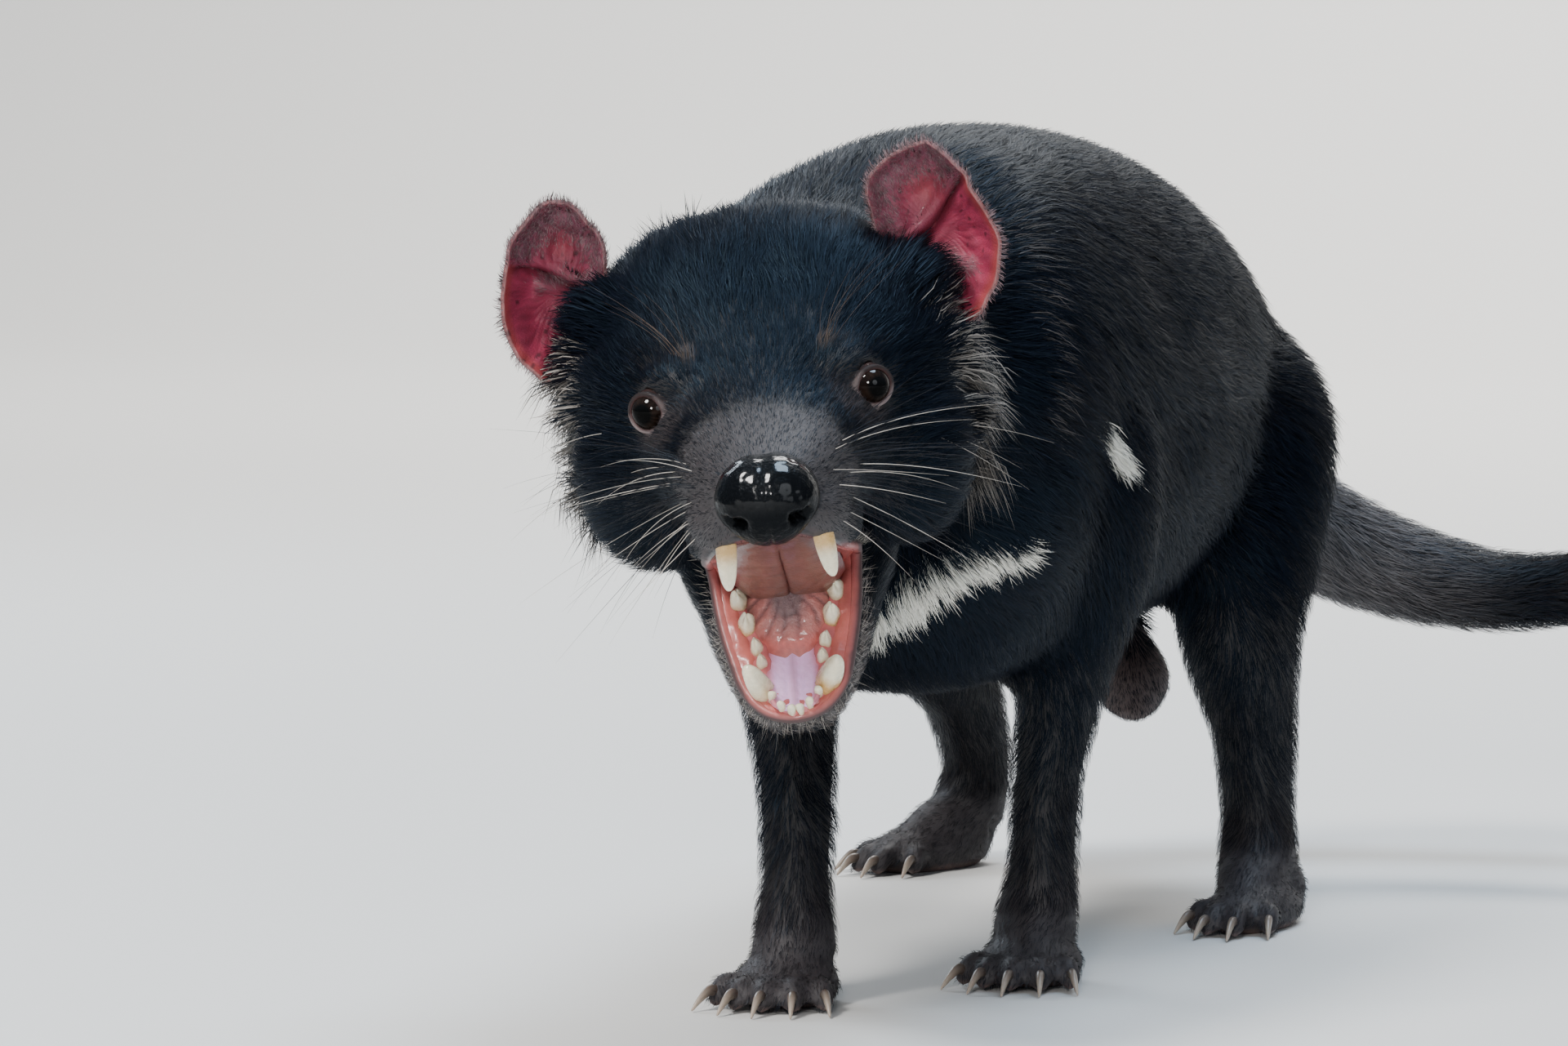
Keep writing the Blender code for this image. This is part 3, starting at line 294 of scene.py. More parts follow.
def smooth_rows(rows, steps):
    """Rows of numbers along a smooth curve through the rows that are given."""
    rows = np.array(rows, float)
    padded = np.concatenate([rows[:1], rows, rows[-1:]])
    t = (np.arange(steps) / steps)[:, None]
    made = []
    for index in range(len(rows) - 1):
        a, b, c, d = padded[index:index + 4]
        made.append(0.5 * (2 * b + (c - a) * t + (2 * a - 5 * b + 4 * c - d) * t ** 2
                           + (3 * b - a - 3 * c + d) * t ** 3))
    made.append(rows[-1:])
    return np.concatenate(made)


def smooth_loop(rows, steps):
    """A smooth closed curve through rows."""
    looped = np.concatenate([rows[-2:], rows, rows[:3]])
    return smooth_rows(looped, steps)[2 * steps:2 * steps + len(rows) * steps]


def read_rows(rows, along):
    """The columns of some rows, read at shares of the way along them."""
    steps = np.linspace(0, 1, len(rows))
    return [np.interp(along, steps, column) for column in rows.T]


def placed(matrix, points):
    """Points taken through a matrix."""
    matrix = np.array(matrix)
    return np.asarray(points, float) @ matrix[:3, :3].T + matrix[:3, 3]


def in_head(points):
    """Points in the head's frame."""
    return placed(HEAD.inverted(), points)


def in_body(points):
    """Points in the body's frame."""
    return placed(BODY.inverted(), points)


def size_of(vectors):
    """The length of each vector."""
    return np.linalg.norm(vectors, axis=1)


def round_angles(count):
    """Angles evenly round a circle."""
    return 2 * HALF_TURN * np.arange(count) / count


def unit(vectors):
    """Vectors of length one."""
    vectors = np.asarray(vectors, float)
    return vectors / np.maximum(np.linalg.norm(vectors, axis=-1, keepdims=True), 1e-12)


def oval(centre, across, upward, half_width, rise, drop, sides=36, fullness=2.2):
    """A ring of points: an oval a little squarer than an ellipse when fullness is over 2."""
    angle = round_angles(sides)
    c = np.cos(angle)
    s = np.sin(angle)
    x = np.sign(c) * np.abs(c) ** (2 / fullness) * half_width
    z = np.sign(s) * np.abs(s) ** (2 / fullness) * np.where(s > 0, rise, drop)
    return np.array(centre) + x[:, None] * np.array(across) + z[:, None] * np.array(upward)


def skinned(rings, caps=True):
    """Vertices and faces of a loft through rings of the same number of points."""
    rings = [np.asarray(ring, float) for ring in rings]
    sides = len(rings[0])
    points = np.concatenate(rings)
    faces = []
    for row in range(len(rings) - 1):
        for index in range(sides):
            after = (index + 1) % sides
            low = row * sides
            high = low + sides
            faces.append((low + index, low + after, high + after, high + index))
    if caps:
        ends = np.array([rings[0].mean(0), rings[-1].mean(0)])
        first = len(points)
        points = np.concatenate([points, ends])
        last = (len(rings) - 1) * sides
        for index in range(sides):
            after = (index + 1) % sides
            faces.append((first, after, index))
            faces.append((first + 1, last + index, last + after))
    return points, faces


def lofted(rows, matrix, direction=1.0, steps=6, fullness=2.2):
    """A loft through ovals that stand across Y."""
    rings = []
    for back, height, half_width, rise, drop in smooth_rows(rows, steps):
        ring = oval((0, back * direction, height), (1, 0, 0), (0, 0, 1), half_width, rise, drop, 36, fullness)
        rings.append(placed(matrix, ring))
    return skinned(rings)


def tube(points, radii, sides=16, depths=None, matrix=None, guide=None):
    """A round tube, or an oval one when depths are given; a guide keeps it from twisting."""
    points = np.asarray(points, float)
    depths = radii if depths is None else depths
    rings = []
    for index, point in enumerate(points):
        along = unit(points[min(index + 1, len(points) - 1)] - points[max(index - 1, 0)])
        turn = guide if guide is not None else (1.0, 0, 0) if abs(along[0]) < 0.9 else (0, 0, 1.0)
        across = unit(np.array(turn) - along * along.dot(turn))
        upward = np.cross(along, across)
        rings.append(oval(point, across, upward, radii[index], depths[index], depths[index], sides, 2.0))
    if matrix is not None:
        rings = [placed(matrix, ring) for ring in rings]
    return skinned(rings)


def limb(rows, steps, sides, matrix):
    """A smooth tube through rows of place, half width and, where it is given, half depth."""
    fine = smooth_rows(rows, steps)
    return tube(fine[:, :3], fine[:, 3], sides, fine[:, 4] if fine.shape[1] > 4 else None, matrix)


def ball(centre, radii, matrix=None, segments=32, rings=18):
    """An egg shape as rings round its Z axis."""
    loops = []
    for step in range(1, rings):
        angle = HALF_TURN * step / rings
        size = math.sin(angle)
        turn = round_angles(segments)
        loop = np.stack([np.cos(turn) * size, np.sin(turn) * size, np.full(segments, -math.cos(angle))], 1)
        loops.append(loop * np.array(radii) + np.array(centre))
    points, faces = skinned(loops)
    points[-2:] = np.array(centre) + np.array([(0, 0, -radii[2]), (0, 0, radii[2])])
    return points if matrix is None else placed(matrix, points), faces


def mirrored(points, side):
    """The same place on one side or the other."""
    points = np.array(points, float)
    points[..., 0] *= side
    return points


def joined(shapes):
    """Several shapes in one."""
    points = []
    faces = []
    count = 0
    for shape_points, shape_faces in shapes:
        points.append(np.asarray(shape_points))
        faces.extend([tuple(index + count for index in face) for face in shape_faces])
        count += len(shape_points)
    return np.concatenate(points), faces


def object_from(name, points, faces, smooth=True):
    """A mesh object of its own from points and faces."""
    mesh = bpy.data.meshes.new(name)
    mesh.from_pydata([tuple(point) for point in np.asarray(points).tolist()], [], faces)
    mesh.update()
    thing = bpy.data.objects.new(name, mesh)
    bpy.context.scene.collection.objects.link(thing)
    if smooth:
        mesh.polygons.foreach_set("use_smooth", [True] * len(mesh.polygons))
    return thing


def facing_out(thing):
    """Turn every face of a closed mesh outwards."""
    bm = bmesh.new()
    bm.from_mesh(thing.data)
    bmesh.ops.recalc_face_normals(bm, faces=bm.faces)
    bm.to_mesh(thing.data)
    bm.free()
    return thing


def thicken(thing, thickness):
    """Give a sheet its thickness, half on each side."""
    shell = thing.modifiers.new("shell", "SOLIDIFY")
    shell.thickness = thickness
    shell.offset = 0.0
    facing_out(bake(thing))


def discard(*things):
    for thing in things:
        bpy.data.objects.remove(thing, do_unlink=True)


def bake(thing):
    """Put the evaluated shape in the mesh and drop the modifiers."""
    bpy.context.view_layer.update()
    graph = bpy.context.evaluated_depsgraph_get()
    mesh = bpy.data.meshes.new_from_object(thing.evaluated_get(graph))
    thing.modifiers.clear()
    thing.data = mesh
    return thing


def fuse(shapes, voxel, passes, name="fused", subdivide=0):
    """Shapes fused to one closed skin and smoothed."""
    thing = facing_out(object_from(name, *joined(shapes)))
    grain = thing.modifiers.new("fuse", "REMESH")
    grain.mode = "VOXEL"
    grain.voxel_size = voxel
    grain.use_smooth_shade = True
    soften = thing.modifiers.new("soften", "SMOOTH")
    soften.factor = 0.5
    soften.iterations = passes
    if subdivide:
        finer = thing.modifiers.new("finer", "SUBSURF")
        finer.levels = subdivide
        finer.render_levels = subdivide
    bake(thing)
    points, faces = mesh_arrays(thing)
    discard(thing)
    return points, faces


def table_of(items, key, width, kind=np.float32):
    """One property of every item, a row each."""
    flat = np.empty(len(items) * width, kind)
    items.foreach_get(key, flat)
    return flat.reshape(-1, width)


def mesh_arrays(thing):
    """Vertices and faces of a mesh."""
    return vertex_places(thing), [tuple(face.vertices) for face in thing.data.polygons]


def combine(thing, shapes, operation):
    """Cut or add shapes, each a closed mesh."""
    other = facing_out(object_from("cutter", *joined(shapes)))
    step = thing.modifiers.new("combine", "BOOLEAN")
    step.operation = operation
    step.solver = "MANIFOLD"
    step.object = other
    bake(thing)
    discard(other)
    return thing


def vertex_normals(thing):
    return table_of(thing.data.vertices, "normal", 3).astype(float)


def vertex_places(thing):
    return table_of(thing.data.vertices, "co", 3).astype(float)


def put_places(thing, places):
    thing.data.vertices.foreach_set("co", np.asarray(places, np.float32).ravel())
    thing.data.update()


def put_colour(thing, colours):
    """A colour for each vertex."""
    colours = np.concatenate([np.clip(colours, 0, 1), np.ones((len(colours), 1))], 1)
    layer = thing.data.attributes.new("markings", "FLOAT_COLOR", "POINT")
    layer.data.foreach_set("color", colours.astype(np.float32).ravel())


def put_value(thing, name, values):
    layer = thing.data.attributes.new(name, "FLOAT", "POINT")
    layer.data.foreach_set("value", np.asarray(values, np.float32))


def unwrap(thing, angle=66.0, margin=0.002):
    """A UV map of the piece's own shape."""
    bpy.ops.object.select_all(action="DESELECT")
    thing.select_set(True)
    bpy.context.view_layer.objects.active = thing
    while thing.data.uv_layers:
        thing.data.uv_layers.remove(thing.data.uv_layers[0])
    thing.data.uv_layers.new(name="OFBake")
    bpy.ops.object.mode_set(mode="EDIT")
    bpy.ops.mesh.select_all(action="SELECT")
    bpy.ops.uv.smart_project(angle_limit=math.radians(angle), island_margin=margin)
    bpy.ops.object.mode_set(mode="OBJECT")
    thing.select_set(False)
    return thing


def dress(thing, material, slot, *nodes):
    """Give a finished piece its material and its place in the frame."""
    if material is not None:
        thing.data.materials.clear()
        thing.data.materials.append(material)
    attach(thing, "root")
    if nodes:
        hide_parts(*nodes)


def finish_piece(thing, colours, material, slot, *nodes, wet=None):
    """Give a piece its colours and its UV map, and dress it."""
    put_colour(thing, colours)
    if wet is not None:
        put_value(thing, "wet", wet)
    unwrap(thing)
    dress(thing, material, slot, *nodes)


def ease(low, high, values):
    """A soft step from 0 at low to 1 at high."""
    t = np.clip((values - low) / (high - low), 0, 1)
    return t * t * (3 - 2 * t)


def mix(a, b, share):
    """Between two colours or values, row by row."""
    a, b, share = (np.asarray(value, float) for value in (a, b, share))
    if share.ndim == 1 and max(a.ndim, b.ndim) > 1:
        share = share[:, None]
    return a * (1 - share) + b * share


def layered(base, *layers):
    """A colour or a value under layers, each with how much of it shows."""
    for layer, share in layers:
        base = mix(base, layer, share)
    return base


def even_tone(tone, count):
    """The same colour for a count of vertices."""
    return np.tile(np.asarray(tone, float), (count, 1))


def bell(away, width):
    """One in the middle, falling smoothly to nothing."""
    return np.exp(-(away / width) ** 2)


def line_distance(points, line):
    """Distance from points to a line of points, and the share of the way along it."""
    line = np.array(line, float)
    best = np.full(len(points), 1e9)
    along = np.zeros(len(points))
    for index in range(len(line) - 1):
        a, b = line[index], line[index + 1]
        way = b - a
        t = np.clip(((points - a) @ way) / way.dot(way), 0, 1)
        far = size_of(points - a - t[:, None] * way)
        closer = far < best
        best[closer] = far[closer]
        along[closer] = (index + t[closer]) / (len(line) - 1)
    return best, along


def off_line(points, line):
    """Distance from points to a line of points."""
    return line_distance(points, line)[0]


def waves(points, scale, seed):
    """Smooth random values between about -1 and 1, from a few turned waves."""
    draw = np.random.default_rng(seed)
    total = np.zeros(len(points))
    for _ in range(10):
        way = unit(draw.normal(size=3)) * draw.uniform(0.6, 1.6) * 2 * HALF_TURN / scale
        total += np.sin(points @ way + draw.uniform(0, 2 * HALF_TURN))
    return total / 3.2


# Materials

class Number:
    """A value socket on which sums can be written."""

    def __init__(self, finish, socket):
        self.finish = finish
        self.socket = socket

    def _sum(self, operation, a, b):
        return self.finish.number("ShaderNodeMath", {"operation": operation}, {0: a, 1: b})

    def __add__(self, other):
        return self._sum("ADD", self, other)

    def __mul__(self, other):
        return self._sum("MULTIPLY", self, other)

    def __rsub__(self, other):
        return self._sum("SUBTRACT", other, self)

    __radd__ = __add__
    __rmul__ = __mul__


class Finish:
    """A material built from nodes."""

    def __init__(self, name):
        self.material = bpy.data.materials.new(name)
        self.material.use_nodes = True
        self.tree = self.material.node_tree
        self.tree.nodes.clear()

    def node(self, kind, settings=None, inputs=None):
        """A node with its settings made first and then its sockets."""
        made = self.tree.nodes.new(kind)
        for key, value in (settings or {}).items():
            setattr(made, key, value)
        for key, value in (inputs or {}).items():
            value = value.socket if isinstance(value, Number) else value
            if isinstance(value, bpy.types.NodeSocket):
                self.tree.links.new(value, made.inputs[key])
            else:
                made.inputs[key].default_value = value
        return made

    def number(self, kind, settings=None, inputs=None, output=0):
        return Number(self, self.node(kind, settings, inputs).outputs[output])

    def markings(self):
        return self.node("ShaderNodeAttribute", {"attribute_name": "markings"}).outputs["Color"]

    def wet(self):
        return self.node("ShaderNodeAttribute", {"attribute_name": "wet"}).outputs["Fac"]

    def places(self):
        return self.node("ShaderNodeTexCoord").outputs["Object"]

    def noise(self, scale, detail=3.0, rough=0.5):
        return self.number("ShaderNodeTexNoise", {},
                           {"Vector": self.places(), "Scale": scale, "Detail": detail, "Roughness": rough})

    def bump(self, height, strength, distance):
        inputs = {"Height": height, "Strength": strength, "Distance": distance}
        return self.node("ShaderNodeBump", {}, inputs).outputs["Normal"]

    def tint(self, share, a, b, blend="MIX"):
        a, b = (value if isinstance(value, bpy.types.NodeSocket) else (*value, 1.0) for value in (a, b))
        settings = {"data_type": "RGBA", "blend_type": blend}
        return self.node("ShaderNodeMix", settings, {0: share, 6: a, 7: b}).outputs[2]

    def grained(self, share, grain, dark, light):
        """The piece's own colour, darker and lighter with a grain."""
        return self.tint(share, self.markings(), self.tint(grain, dark, light), "MULTIPLY")

    def surface(self, **inputs):
        """The closing shader: plain values stay on its own sockets."""
        names = {key.replace("_", " ").title().replace("Ior", "IOR"): value for key, value in inputs.items()}
        shader = self.node("ShaderNodeBsdfPrincipled", {}, names)
        self.node("ShaderNodeOutputMaterial", {}, {"Surface": shader.outputs["BSDF"]})
        return self.material


def skin_finish():
    finish = Finish("skin")
    wet = Number(finish, finish.wet())
    shade = finish.grained(0.35, finish.noise(420.0, 4.0, 0.6), (0.45, 0.42, 0.42), (1.5, 1.5, 1.5))
    folds = finish.bump(finish.noise(900.0, 4.0, 0.6), 0.35, 0.0006)
    return finish.surface(base_color=shade, roughness=0.62 - 0.36 * wet, coat_weight=0.5 * wet,
                          coat_roughness=0.12, normal=folds, subsurface_weight=0.04,
                          subsurface_radius=(0.004, 0.0015, 0.001), subsurface_scale=1.0)


def hair_finish(name="hair", roughness=0.42, shine=0.15):
    finish = Finish(name)
    return finish.surface(base_color=finish.markings(), roughness=roughness, specular_ior_level=shine,
                          specular_tint=(0.42, 0.72, 1.0, 1.0))


def wet_finish(name, roughness, grain, strength, coat=0.6, glow=0.12, shine=0.5):
    """Wet living tissue with a fine grain."""
    finish = Finish(name)
    fine = finish.noise(grain, 4.0, 0.55)
    return finish.surface(base_color=finish.grained(0.3, fine, (0.55, 0.5, 0.5), (1.35, 1.35, 1.35)),
                          roughness=roughness, coat_weight=coat, coat_roughness=0.1,
                          specular_ior_level=shine, normal=finish.bump(fine, strength, 0.0005),
                          subsurface_weight=glow, subsurface_radius=(0.004, 0.0012, 0.0008),
                          subsurface_scale=1.0)


# Skin

class Skin:
    """What the coat needs to know of the skin, kept between the operators."""

    thing = None
    masks = {}
    wet = None


def neck_rings():
    """From the shoulders to just inside the head, ending in the head's own outline."""
    back, middle, half_width, rise, drop = SKULL_ROWS[-2]
    start = np.array(BODY @ NECK_ROOT)
    end = np.array(HEAD @ Vector((0, back - 0.012, middle)))
    turn = np.array(HEAD_TURN)
    rings = []
    for share in np.linspace(0, 1, 13):
        across = unit((1 - share) * np.array((1, 0, 0)) + share * turn[:, 0])
        upward = unit((1 - share) * np.array((0, 0, 1)) + share * turn[:, 2])
        soft = share * share * (3 - 2 * share)
        wide = NECK_ROOT_HALF_WIDTH + (half_width - NECK_ROOT_HALF_WIDTH) * soft
        high = NECK_ROOT_HALF_HEIGHT + (rise - NECK_ROOT_HALF_HEIGHT) * soft
        low = NECK_ROOT_HALF_HEIGHT + (drop - NECK_ROOT_HALF_HEIGHT) * soft
        rings.append(oval(start + (end - start) * share, across, upward, wide, high, low))
    return skinned(rings)


def body_pieces():
    pieces = [lofted(TRUNK_ROWS, BODY), neck_rings()]
    pieces += [limb(rows, 6, 24, BODY) for rows in (*LEGS.values(), TAIL_POINTS)]
    pieces.append(ball(SCROTUM_PLACE, SCROTUM_RADII, BODY))
    stalk = np.array([SCROTUM_NECK, (SCROTUM_NECK + SCROTUM_PLACE) / 2, SCROTUM_PLACE])
    pieces.append(tube(stalk, [0.008] * 3, 16, None, BODY))
    return pieces


def head_pieces():
    pieces = [lofted(SKULL_ROWS, HEAD), lofted(JAW_ROWS, JAW, -1.0)]
    for side, _ in SIDES:
        for place, radii in HEAD_PADS:
            pieces.append(ball(mirrored(place, side), radii, HEAD))
    return pieces


def foot_layout(name):
    """The foot's frame, its sizes and, for each toe, its points and those of its claw."""
    sizes = FORE_FOOT if name.startswith("fore") else HIND_FOOT
    x, y, turn = FEET[name]
    matrix = BODY @ Matrix.Translation((x, y, 0)) @ Matrix.Rotation(turn, 4, "Z")
    thick = sizes["toe_thick"]
    width = sizes["half_width"]
    toes = []
    for index in range(sizes["toes"]):
        share = index / (sizes["toes"] - 1) * 2 - 1
        angle = share * sizes["spread"]
        way = np.array((math.sin(angle), -math.cos(angle), 0))
        long = sizes["toe_length"] * (1 - 0.22 * share * share)
        forward = -sizes["half_length"] * (0.72 - 0.25 * share * share)
        start = np.array((share * (width - thick), forward, thick * 1.25))
        middle = start + way * long * 0.55 + (0, 0, thick * 0.45)
        end = start + way * long - (0, 0, thick * 0.45)
        toe = np.array((start - way * thick, start, middle, end, end + way * thick * 0.7))
        root = end + (0, 0, thick * 0.3)
        rise = np.array((0, 0, thick * 0.35))
        fall = np.array((0, 0, 0.0006 - root[2]))
        reach = sizes["claw"]
        claw = np.array((root - way * thick * 0.5, root + way * reach * 0.25 + rise * 0.7,
                         root + way * reach * 0.65 + rise * 0.2 + fall * 0.35, root + way * reach + fall))
        toes.append((toe, claw))
    return matrix, sizes, toes


def foot_piece(name):
    matrix, sizes, toes = foot_layout(name)
    thick = sizes["toe_thick"]
    height = sizes["height"]
    pieces = [ball((0, 0, height * 0.36), (sizes["half_width"], sizes["half_length"], height * 0.62), matrix)]
    if name.startswith("hind"):
        pieces.append(ball(HEEL_PLACE, HEEL_RADII, matrix))
    for toe, _ in toes:
        radii = np.array([thick, thick * 1.05, thick, thick * 0.95, thick * 0.45])
        pieces.append(limb(np.concatenate([toe, radii[:, None]], 1), 4, 16, matrix))
    rows = np.array(LEGS[name])
    low = placed(BODY, rows[-1, :3])
    instep = placed(matrix, (0, -sizes["half_length"] * 0.45, height * 0.5))
    half_width = rows[-1, 3]
    points = np.array([low, (low + instep) / 2, instep])
    pieces.append(tube(points, [half_width, half_width * 0.85, height * 0.42], 16))
    pieces.append(limb(rows[-3:], 4, 24, BODY))
    return fuse(pieces, 0.0013, 3)


def lip_line(steps=6):
    """The rim of the open mouth, once round."""
    left = in_head(np.concatenate([placed(HEAD, LIP_UPPER), placed(JAW, LIP_LOWER)]))
    return placed(HEAD, smooth_loop(np.concatenate([left, mirrored(left[-2:0:-1], RIGHT)]), steps))


def lip_radius(line):
    """The lip is thin under the nose and fuller towards the chin."""
    head = in_head(line)
    return 0.0012 + 0.0007 * ease(-0.036, -0.046, head[:, 2]) - 0.0003 * ease(-0.085, -0.095, head[:, 2])


def closed_tube(points, radii, sides=12):
    """A round tube along a closed line, without ends."""
    middle = points.mean(0)
    rings = []
    for index, point in enumerate(points):
        along = unit(points[(index + 1) % len(points)] - points[index - 1])
        outward = point - middle
        outward = unit(outward - along * outward.dot(along))
        radius = radii[index]
        rings.append(oval(point, outward, np.cross(along, outward), radius, radius, radius, sides, 2.0))
    shape, faces = skinned([*rings, rings[0]], caps=False)
    count = len(points) * sides
    return shape[:count], [tuple(index % count for index in face) for face in faces]


def in_hollows(points):
    """How far outside the mouth's hollows: below 1 is inside one of them."""
    best = np.full(len(points), 1e9)
    for matrix, place, radii in MOUTH_HOLLOWS:
        local = placed(matrix.inverted(), points)
        best = np.minimum(best, size_of((local - place) / radii))
    return best


def mouth_opening(places):
    """Which places are seen through the open lips from the front."""
    def flat(points):
        head = in_head(points)
        return np.stack([head[:, column] + slope * head[:, 1] for column, slope in SIGHT_SLOPES], 1)

    spots = flat(places)
    ring = flat(lip_line())
    inside = np.zeros(len(spots), bool)
    for a, b in zip(ring, np.roll(ring, -1, 0)):
        crosses = (a[1] > spots[:, 1]) != (b[1] > spots[:, 1])
        slope = (b[0] - a[0]) / (b[1] - a[1] + 1e-12)
        inside ^= crosses & (spots[:, 0] < a[0] + slope * (spots[:, 1] - a[1]))
    return (inside & (in_hollows(places) < 1.8)).astype(float)


NODE_GROUPS = {
    "head": ("head",), "jaw": ("lower_jaw",), "neck": ("neck",), "torso": ("torso",), "tail": ("tail",),
    "scrotum": ("scrotum",),
    "leg": ("fore_leg_left", "fore_leg_right", "hind_leg_left", "hind_leg_right"),
    "foot": ("fore_foot_left", "fore_foot_right", "hind_foot_left", "hind_foot_right"),
}


def tree_of(points, faces):
    return BVHTree.FromPolygons(points.tolist(), faces)


def node_masks(places):
    """For each place, which group of solids lies nearest."""
    shapes = []
    groups = []
    for group, names in NODE_GROUPS.items():
        for name in names:
            shapes.append(mesh_arrays(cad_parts[name]))
            groups.extend([group] * len(shapes[-1][1]))
    tree = tree_of(*joined(shapes))
    nearest = np.array([groups[tree.find_nearest(place)[2]] for place in places.tolist()])
    return {group: (nearest == group).astype(float) for group in NODE_GROUPS}


def edges_of(thing):
    return table_of(thing.data.edges, "vertices", 2, np.int32)


def spread(values, edges, rounds):
    """Average values with their neighbours', some rounds."""
    values = np.asarray(values, float)
    flat = values.reshape(len(values), -1)
    count = np.bincount(edges.ravel(), minlength=len(flat)) + 1.0
    for _ in range(rounds):
        total = flat.copy()
        for column in range(flat.shape[1]):
            total[:, column] += np.bincount(edges[:, 0], flat[edges[:, 1], column], len(flat))
            total[:, column] += np.bincount(edges[:, 1], flat[edges[:, 0], column], len(flat))
        flat = total / count[:, None]
    return flat.reshape(values.shape)


def skin_depth(places):
    """How far the skin lies inside the coat's tips."""
    body = in_body(places)
    back = in_head(places)[:, 1]
    tail = ease(0.355, 0.375, body[:, 1]) * ease(0.07, 0.09, body[:, 2])
    on_head = ease(0.085, 0.06, back)
    return layered(
        np.full(len(places), 0.006),
        (0.0024, ease(0.15, 0.09, body[:, 2])),
        (0.001, ease(0.045, 0.02, body[:, 2])),
        (0.0034, tail),
        (0.0022, ease(0.1, 0.22, body[:, 0]) * tail),
        (0.0008, ease(0.026, 0.018, size_of(body - np.array(SCROTUM_PLACE)))),
        (0.0028, on_head),
        (0.0006, ease(0.03, -0.03, back) * on_head),
    )


def build_skin(settings):
    """One closed skin for the whole animal."""
    body = fuse(body_pieces(), 0.004, 6, subdivide=1)
    head = fuse(head_pieces(), 0.0018, 5)
    feet = [foot_piece(name) for name in FEET]
    thing = object_from("skin", *fuse([body, head, *feet], settings.fineness, 3))
    places = vertex_places(thing)
    depth = spread(skin_depth(places), edges_of(thing), 6)
    put_places(thing, places - vertex_normals(thing) * depth[:, None])
    hollows = [ball(place, radii, matrix, 48, 28) for matrix, place, radii in MOUTH_HOLLOWS]
    sockets = []
    for side, _ in SIDES:
        sockets.append(ball(mirrored(EYE_PLACE, side), (EYE_RADIUS + 0.0003,) * 3, HEAD, 40, 24))
    combine(thing, hollows + sockets, "DIFFERENCE")
    combine(thing, [closed_tube(lip_line(), lip_radius(lip_line()))], "UNION")
    places = vertex_places(thing)
    places[:, 2] = np.maximum(places[:, 2], 0.0)
    put_places(thing, places)
    keep_largest(thing)
    group = thing.vertex_groups.new(name="plain")
    places = vertex_places(thing)
    head_place = in_head(places)
    fine = np.maximum(ease(0.075, 0.045, head_place[:, 1]), ease(0.045, 0.035, places[:, 2]))
    for share, chosen in ((1.0, fine < 0.34), (0.5, (fine >= 0.34) & (fine < 0.67)), (0.12, fine >= 0.67)):
        group.add(np.nonzero(chosen)[0].tolist(), share, "REPLACE")
    triangles = sum(len(face.vertices) - 2 for face in thing.data.polygons)
    fewer = thing.modifiers.new("fewer", "DECIMATE")
    fewer.ratio = min(1.0, settings.faces / triangles)
    fewer.vertex_group = "plain"
    fewer.vertex_group_factor = 6.0
    fewer.use_collapse_triangulate = True
    bake(thing)
    thing.vertex_groups.clear()
    return thing


def keep_largest(thing):
    """Drop loose crumbs of a mesh."""
    bm = bmesh.new()
    bm.from_mesh(thing.data)
    bm.verts.ensure_lookup_table()
    seen = set()
    islands = []
    for vertex in bm.verts:
        if vertex.index in seen:
            continue
        seen.add(vertex.index)
        group = [vertex]
        for member in group:
            for edge in member.link_edges:
                other = edge.other_vert(member)
                if other.index not in seen:
                    seen.add(other.index)
                    group.append(other)
        islands.append(group)
    islands.sort(key=len)
    loose = [vertex for group in islands[:-1] for vertex in group]
    bmesh.ops.delete(bm, geom=loose, context="VERTS")
    bm.to_mesh(thing.data)
    bm.free()


def marks(places, normals, masks, edges, settings):
    """Colour and wetness of the skin, for every vertex, with painted shade inside the mouth."""
    head = in_head(places)
    inside = np.maximum(ease(1.1, 1.02, in_hollows(places)), spread(mouth_opening(places), edges, 1))
    lip = off_line(places, lip_line())
    near_lip = ease(0.0034, 0.0022, lip)
    front = ease(-0.046, -0.04, head[:, 2]) * ease(-0.01, -0.02, head[:, 1])
    shade_behind_lip = ease(-0.05, -0.042, head[:, 2]) * ease(-0.004, -0.016, head[:, 1])
    shown = in_body(places + normals * skin_depth(places)[:, None])
    colour = layered(
        even_tone(settings.colour, len(places)),
        (settings.muzzle, muzzle_mask(head)),
        (settings.foot, ease(0.042, 0.022, places[:, 2])),
        ((0.16, 0.11, 0.1), ease(0.0035, 0.001, places[:, 2])),
        ((0.075, 0.05, 0.048), masks["scrotum"]),
        ((0.085, 0.078, 0.078), ease(0.0085, 0.005, lip) * ease(-0.044, -0.05, head[:, 2])),
        ((0.075, 0.04, 0.04), near_lip),
        ((0.44, 0.1, 0.088), inside),
        ((0.52, 0.155, 0.145), near_lip * inside),
        (settings.muzzle, near_lip * front),
        # Dark red just inside the upper lip: painted shade under the lip and the nose.
        ((0.07, 0.022, 0.022), inside * shade_behind_lip * (1 - near_lip)),
        # Darker red towards the back of the mouth: painted shade in the throat.
        ((0.16, 0.03, 0.028), ease(0.004, 0.024, head[:, 1]) * inside),
        ((0.4, 0.37, 0.33), white_mask(shown, 0.0) * (1 - masks["head"])),
    )
    return colour, inside


def muzzle_mask(head):
    """Where the muzzle is thinly haired and grey."""
    local = (head - (0.0005, -0.036, -0.022)) / (0.031, 0.037, 0.0265)
    far = size_of(local) + 0.05 * waves(head, 0.012, 51)
    return ease(1.08, 0.88, far) * ease(0.004, -0.006, head[:, 1])


